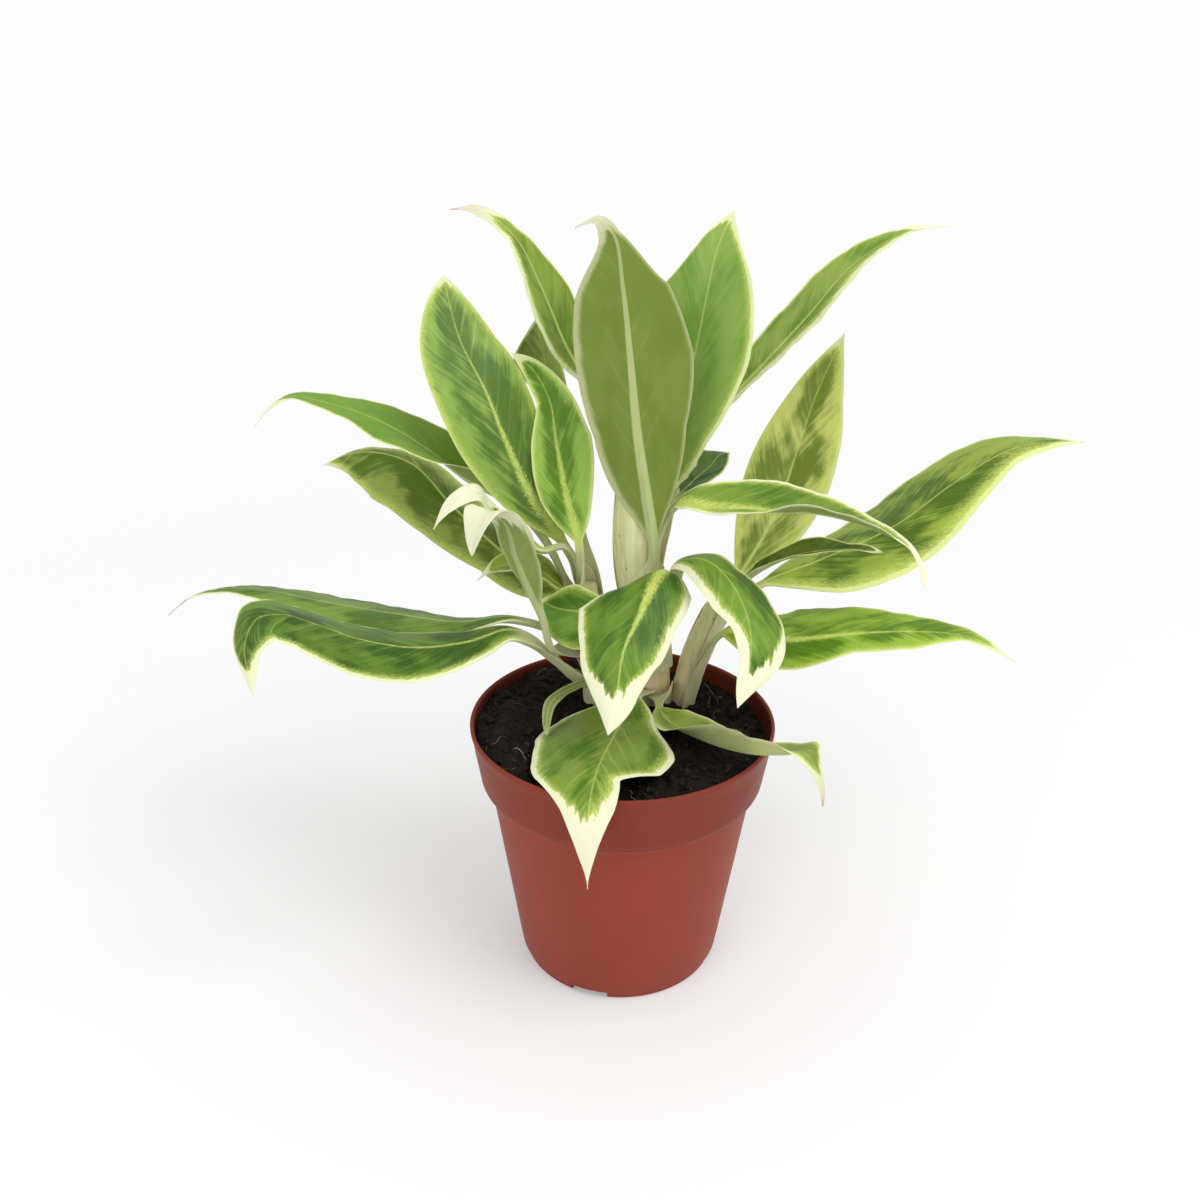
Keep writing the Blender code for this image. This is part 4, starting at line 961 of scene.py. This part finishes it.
def add_pot():
    shell = placed("pot_shell_rough", pot_mesh())
    cutters = [slot_cutter(SLOT_AZIMUTH + 360.0 / SLOT_COUNT * number) for number in range(SLOT_COUNT)]
    for cutter in cutters:
        boolean = shell.modifiers.new("slot", "BOOLEAN")
        boolean.operation = "DIFFERENCE"
        boolean.object = cutter
    cut_shell = shell.evaluated_get(bpy.context.evaluated_depsgraph_get())
    mesh = bpy.data.meshes.new_from_object(cut_shell)
    mesh.name = "moulded_pot"
    for helper in cutters + [shell]:
        bpy.data.objects.remove(helper, do_unlink=True)
    mesh.shade_smooth()
    mesh.set_sharp_from_angle(angle=math.radians(SHARP_ANGLE))
    piece = add_piece("moulded_pot", mesh, pot_material())
    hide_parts("pot")


# ---------------- soil

SOIL_TOP = 100.5
SOIL_SINK = 0.8         # mean depth of the shown surface below that
SOIL_HEAP = 5.2         # height of the peat that lies against the wall on the left
SOIL_LIMIT = 5.4        # greatest height of the shown surface above the top
SOIL_DIP = 1.2          # drop of the surface towards the wall
SOIL_RADIUS = 57.2
SOIL_GRID = 0.7
SOIL_SIDES = 360
SOIL_WALL = [(55.6, 86.0), (52.6, 83.0), (50.4, 78.0), (40.2, 6.0), (37.6, 2.2)]
# humps, lumps and crumbs: size, height and number of waves
SOIL_RELIEF = ((34.0, 0.55, 5), (13.0, 0.45, 8), (5.5, 0.34, 14), (2.6, 0.20, 18), (1.7, 0.10, 14))
CRUMBS = 1200
CRUMB_REACH = 56.0
CRUMB_SIZE = 0.35       # radius of the smallest crumbs
CRUMB_GROWTH = 1.7      # and what the largest have more
FIBRES = 90
PALE_ROOTS = 22
ROOT_SPREAD = 55.0      # farthest middle of a root from the pot's axis
ROOT_REACH = 56.3       # farthest point
ROOT_LENGTH = (5.0, 17.0)
ROOT_WANDER = 1.2
ROOT_SIDES = 5


def soil_height(x, y, waves):
    """Uneven peat, heaped against the left of the wall."""
    height = np.full_like(x, SOIL_TOP - SOIL_SINK, dtype=float)
    for amplitude, fx, fy, phase in waves:
        height += amplitude * np.sin(fx * x + fy * y + phase)
    radius = np.hypot(x, y)
    height += SOIL_HEAP * ease((0.43 * y - 0.9 * x - 8.0) / 34.0) * ease((radius - 24.0) / 24.0)
    return np.minimum(height - SOIL_DIP * ease((radius - 48.0) / 9.0), SOIL_TOP + SOIL_LIMIT)


def soil_waves(rng):
    waves = []
    for size, amplitude, count in SOIL_RELIEF:
        for _ in range(count):
            turn = rng.uniform(0, TURN)
            pitch = TURN / (size * rng.uniform(0.8, 1.25))
            waves.append((amplitude / math.sqrt(count) * 1.6, pitch * math.cos(turn), pitch * math.sin(turn),
                          rng.uniform(0, TURN)))
    return waves


def soil_mesh(waves):
    """Peat as a disc of fine rings with relief, closed by a wall and a floor."""
    turns = circle(SOIL_SIDES)
    count = int(SOIL_RADIUS / SOIL_GRID)
    work = bmesh.new()
    rings = [corner_ring(work, 0.0, turns[:1], SOIL_TOP - SOIL_SINK)]
    for index in range(1, count + 1):
        radius = SOIL_RADIUS * index / count
        height = soil_height(radius * np.cos(turns), radius * np.sin(turns), waves)
        rings.append(corner_ring(work, radius, turns, height))
    rings += [corner_ring(work, radius, turns, height) for radius, height in SOIL_WALL]
    bridge(work, rings)
    work.faces.new(rings[-1])
    return finish(work, bpy.data.meshes.new("peat"))


def soil_material(name, dark, light, fleck):
    g = Graph(name)
    lump = g.grain((260.0, 260.0, 260.0), 5.0, 0.65)
    tint = g.grain((70.0, 70.0, 70.0), 3.0)
    colour = g.mix(g.span(lump + tint * 0.5, 0.55, 1.0), rgb(*dark), rgb(*light))
    dots = g.grain((1400.0, 1400.0, 1400.0), 1.0)
    colour = g.mix(g.span(dots, 0.70, 0.76) * 0.6, colour, rgb(*fleck))
    g.surface(colour, lump * 0.25 + 0.70, 0.2)
    g.bump(lump, 0.0009, 0.9)
    return g.material


def crumb(work, centre, size, rng):
    """One lump of peat: a small ball pushed out of round."""
    made = bmesh.ops.create_icosphere(work, subdivisions=1, radius=1.0)
    squash = (rng.uniform(0.7, 1.3), rng.uniform(0.6, 1.1), rng.uniform(0.45, 0.8))
    spin = Matrix.Rotation(rng.uniform(0, TURN), 3, Vector(rng.normal(size=3)).normalized())
    for vert in made["verts"]:
        swollen = vert.co * (1.0 + rng.uniform(-0.25, 0.25))
        shaped = spin @ Vector([length * share for length, share in zip(swollen, squash)])
        vert.co = (shaped * size + Vector(centre)) * MM


def add_crumbs(waves, rng):
    work = bmesh.new()
    for _ in range(CRUMBS):
        radius = CRUMB_REACH * math.sqrt(rng.uniform(0.0, 1.0))
        turn = rng.uniform(0, TURN)
        x, y = radius * math.cos(turn), radius * math.sin(turn)
        size = CRUMB_SIZE + CRUMB_GROWTH * rng.uniform()**4
        base = float(soil_height(np.array(x), np.array(y), waves))
        crumb(work, (x, y, base + 0.25 * size), size, rng)
    mesh = finish(work, bpy.data.meshes.new("peat_crumbs"))
    material = soil_material("crumb_peat", (9, 7, 5), (53, 38, 28), (106, 83, 63))
    add_piece("peat_crumbs", mesh, material)


def fibre(work, points, radius):
    """A thin root as a tube through its points."""
    curve, share, _, length = smooth_path(points, 60)
    count = max(6, int(length / 0.9))
    centres = resample(curve, share, np.linspace(0.0, 1.0, count))
    taper = 1.0 - 0.6 * np.abs(np.linspace(-1.0, 1.0, count)[:, None])**3
    rounds = round_rings(centres, radius * taper, circle(ROOT_SIDES), (0.13, 0.21, 0.97))
    rings = [corners(work, ring) for ring in rounds]
    bridge(work, rings)
    work.faces.new(rings[0][::-1])
    work.faces.new(rings[-1])


def add_fibres(name, count, inner, thickness, material, waves, rng):
    """Roots scattered over the peat; inner is the bare share of its area round the middle."""
    work = bmesh.new()
    for _ in range(count):
        radius = ROOT_SPREAD * math.sqrt(rng.uniform(inner, 1.0))
        turn = rng.uniform(0, TURN)
        heading = rng.uniform(0, TURN)
        length = rng.uniform(*ROOT_LENGTH)
        points = []
        for share in (0.0, 0.25, 0.5, 0.75, 1.0):
            offset = length * (share - 0.5)
            x = radius * math.cos(turn) + offset * math.cos(heading)
            x += rng.uniform(-ROOT_WANDER, ROOT_WANDER)
            y = radius * math.sin(turn) + offset * math.sin(heading)
            y += rng.uniform(-ROOT_WANDER, ROOT_WANDER)
            held = min(1.0, ROOT_REACH / math.hypot(x, y))
            x, y = x * held, y * held
            base = float(soil_height(np.array(x), np.array(y), waves))
            points.append((x, y, base + rng.uniform(-0.4, 1.5) * math.sin(math.pi * share)))
        fibre(work, points, thickness * rng.uniform(0.5, 1.5))
    add_piece(name, finish(work, bpy.data.meshes.new(name)), material)


def add_soil():
    rng = np.random.default_rng(12)
    waves = soil_waves(rng)
    material = soil_material("peat_surface", (8, 6, 5), (37, 27, 20), (84, 67, 52))
    piece = add_piece("peat", soil_mesh(waves), material)
    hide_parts("soil")
    add_crumbs(waves, rng)
    dark_root = soil_material("dark_root", (34, 25, 19), (92, 72, 56), (130, 112, 92))
    add_fibres("root_fibres", FIBRES, 0.05, 0.10, dark_root, waves, rng)
    pale_root = soil_material("pale_root", (120, 106, 88), (196, 184, 164), (214, 204, 188))
    add_fibres("pale_roots", PALE_ROOTS, 0.55, 0.09, pale_root, waves, rng)


# ---------------- floor, light and camera

FLOOR_HALF_SIDE = 12.0
FLOOR_LIFT = 0.22       # how far the floor near the plant is lifted towards the backdrop's white
BACKDROP_WHITE = (0.985, 0.985, 0.985, 1.0)
WORLD_STRENGTH = 0.80
LAMP_TARGET = (0.0, 0.0, 0.15)
CAMERA_PLACE = (0.0, -0.402, 0.338)
CAMERA_PAN = -1.29
CAMERA_TILT = 24.21
CAMERA_ROLL = 0.36


def add_floor():
    mesh = bpy.data.meshes.new("floor")
    side = FLOOR_HALF_SIDE
    mesh.from_pydata([(-side, -side, 0.0), (side, -side, 0.0), (side, side, 0.0), (-side, side, 0.0)], [],
                     [(0, 1, 2, 3)])
    floor = placed("floor", mesh)
    g = Graph("floor_white")
    g.surface((0.90, 0.90, 0.905, 1.0), 0.9, 0.5)
    reach = g.node("VectorMath", g.here(), operation="LENGTH", output="Value")
    far = g.span(reach, 0.30, 0.95, FLOOR_LIFT, 1.0)
    g.overlay(far * g.node("LightPath", output="Is Camera Ray"), g.node("Emission", BACKDROP_WHITE))
    mesh.materials.append(g.material)


def add_area_light(name, place, size, power):
    data = bpy.data.lights.new(name, "AREA")
    data.shape = "DISK"
    data.size = size
    data.energy = power
    lamp = placed(name, data)
    lamp.location = place
    aim = Vector(LAMP_TARGET) - Vector(place)
    lamp.rotation_euler = aim.to_track_quat("-Z", "Y").to_euler()


def add_lights():
    world = bpy.data.worlds.new("studio")
    world.use_nodes = True
    tree = world.node_tree
    background = tree.nodes["Background"]
    background.inputs["Color"].default_value = (1.0, 1.0, 1.0, 1.0)
    background.inputs["Strength"].default_value = WORLD_STRENGTH
    ray = tree.nodes.new("ShaderNodeLightPath")
    white = tree.nodes.new("ShaderNodeBackground")
    white.inputs["Color"].default_value = BACKDROP_WHITE
    white.inputs["Strength"].default_value = 1.0
    blend = tree.nodes.new("ShaderNodeMixShader")
    tree.links.new(ray.outputs["Is Camera Ray"], blend.inputs[0])
    tree.links.new(background.outputs[0], blend.inputs[1])
    tree.links.new(white.outputs[0], blend.inputs[2])
    tree.links.new(blend.outputs[0], tree.nodes["World Output"].inputs["Surface"])
    bpy.context.scene.world = world
    add_area_light("key_light", (0.9, -0.6, 1.8), 1.5, 17.0)
    add_area_light("front_fill", (-0.8, -1.1, 0.8), 1.2, 4.0)


def add_camera():
    data = bpy.data.cameras.new("camera")
    data.lens = 35.0
    data.sensor_width = 36.0
    data.clip_start = 0.01
    camera = placed("camera", data)
    pan, tilt, roll = (math.radians(angle) for angle in (CAMERA_PAN, CAMERA_TILT, CAMERA_ROLL))
    ahead = Vector((math.sin(pan) * math.cos(tilt), math.cos(pan) * math.cos(tilt), -math.sin(tilt)))
    right = ahead.cross(Vector((0.0, 0.0, 1.0))).normalized()
    up = right.cross(ahead)
    across = math.cos(roll) * right + math.sin(roll) * up
    upright = -math.sin(roll) * right + math.cos(roll) * up
    turn = Matrix((across, upright, -ahead)).transposed()
    camera.matrix_world = Matrix.Translation(CAMERA_PLACE) @ turn.to_4x4()
    bpy.context.scene.camera = camera


add_leaves()
add_canes()
add_pot()
add_soil()
add_floor()
add_lights()
add_camera()
bpy.context.scene.view_settings.view_transform = "Standard"
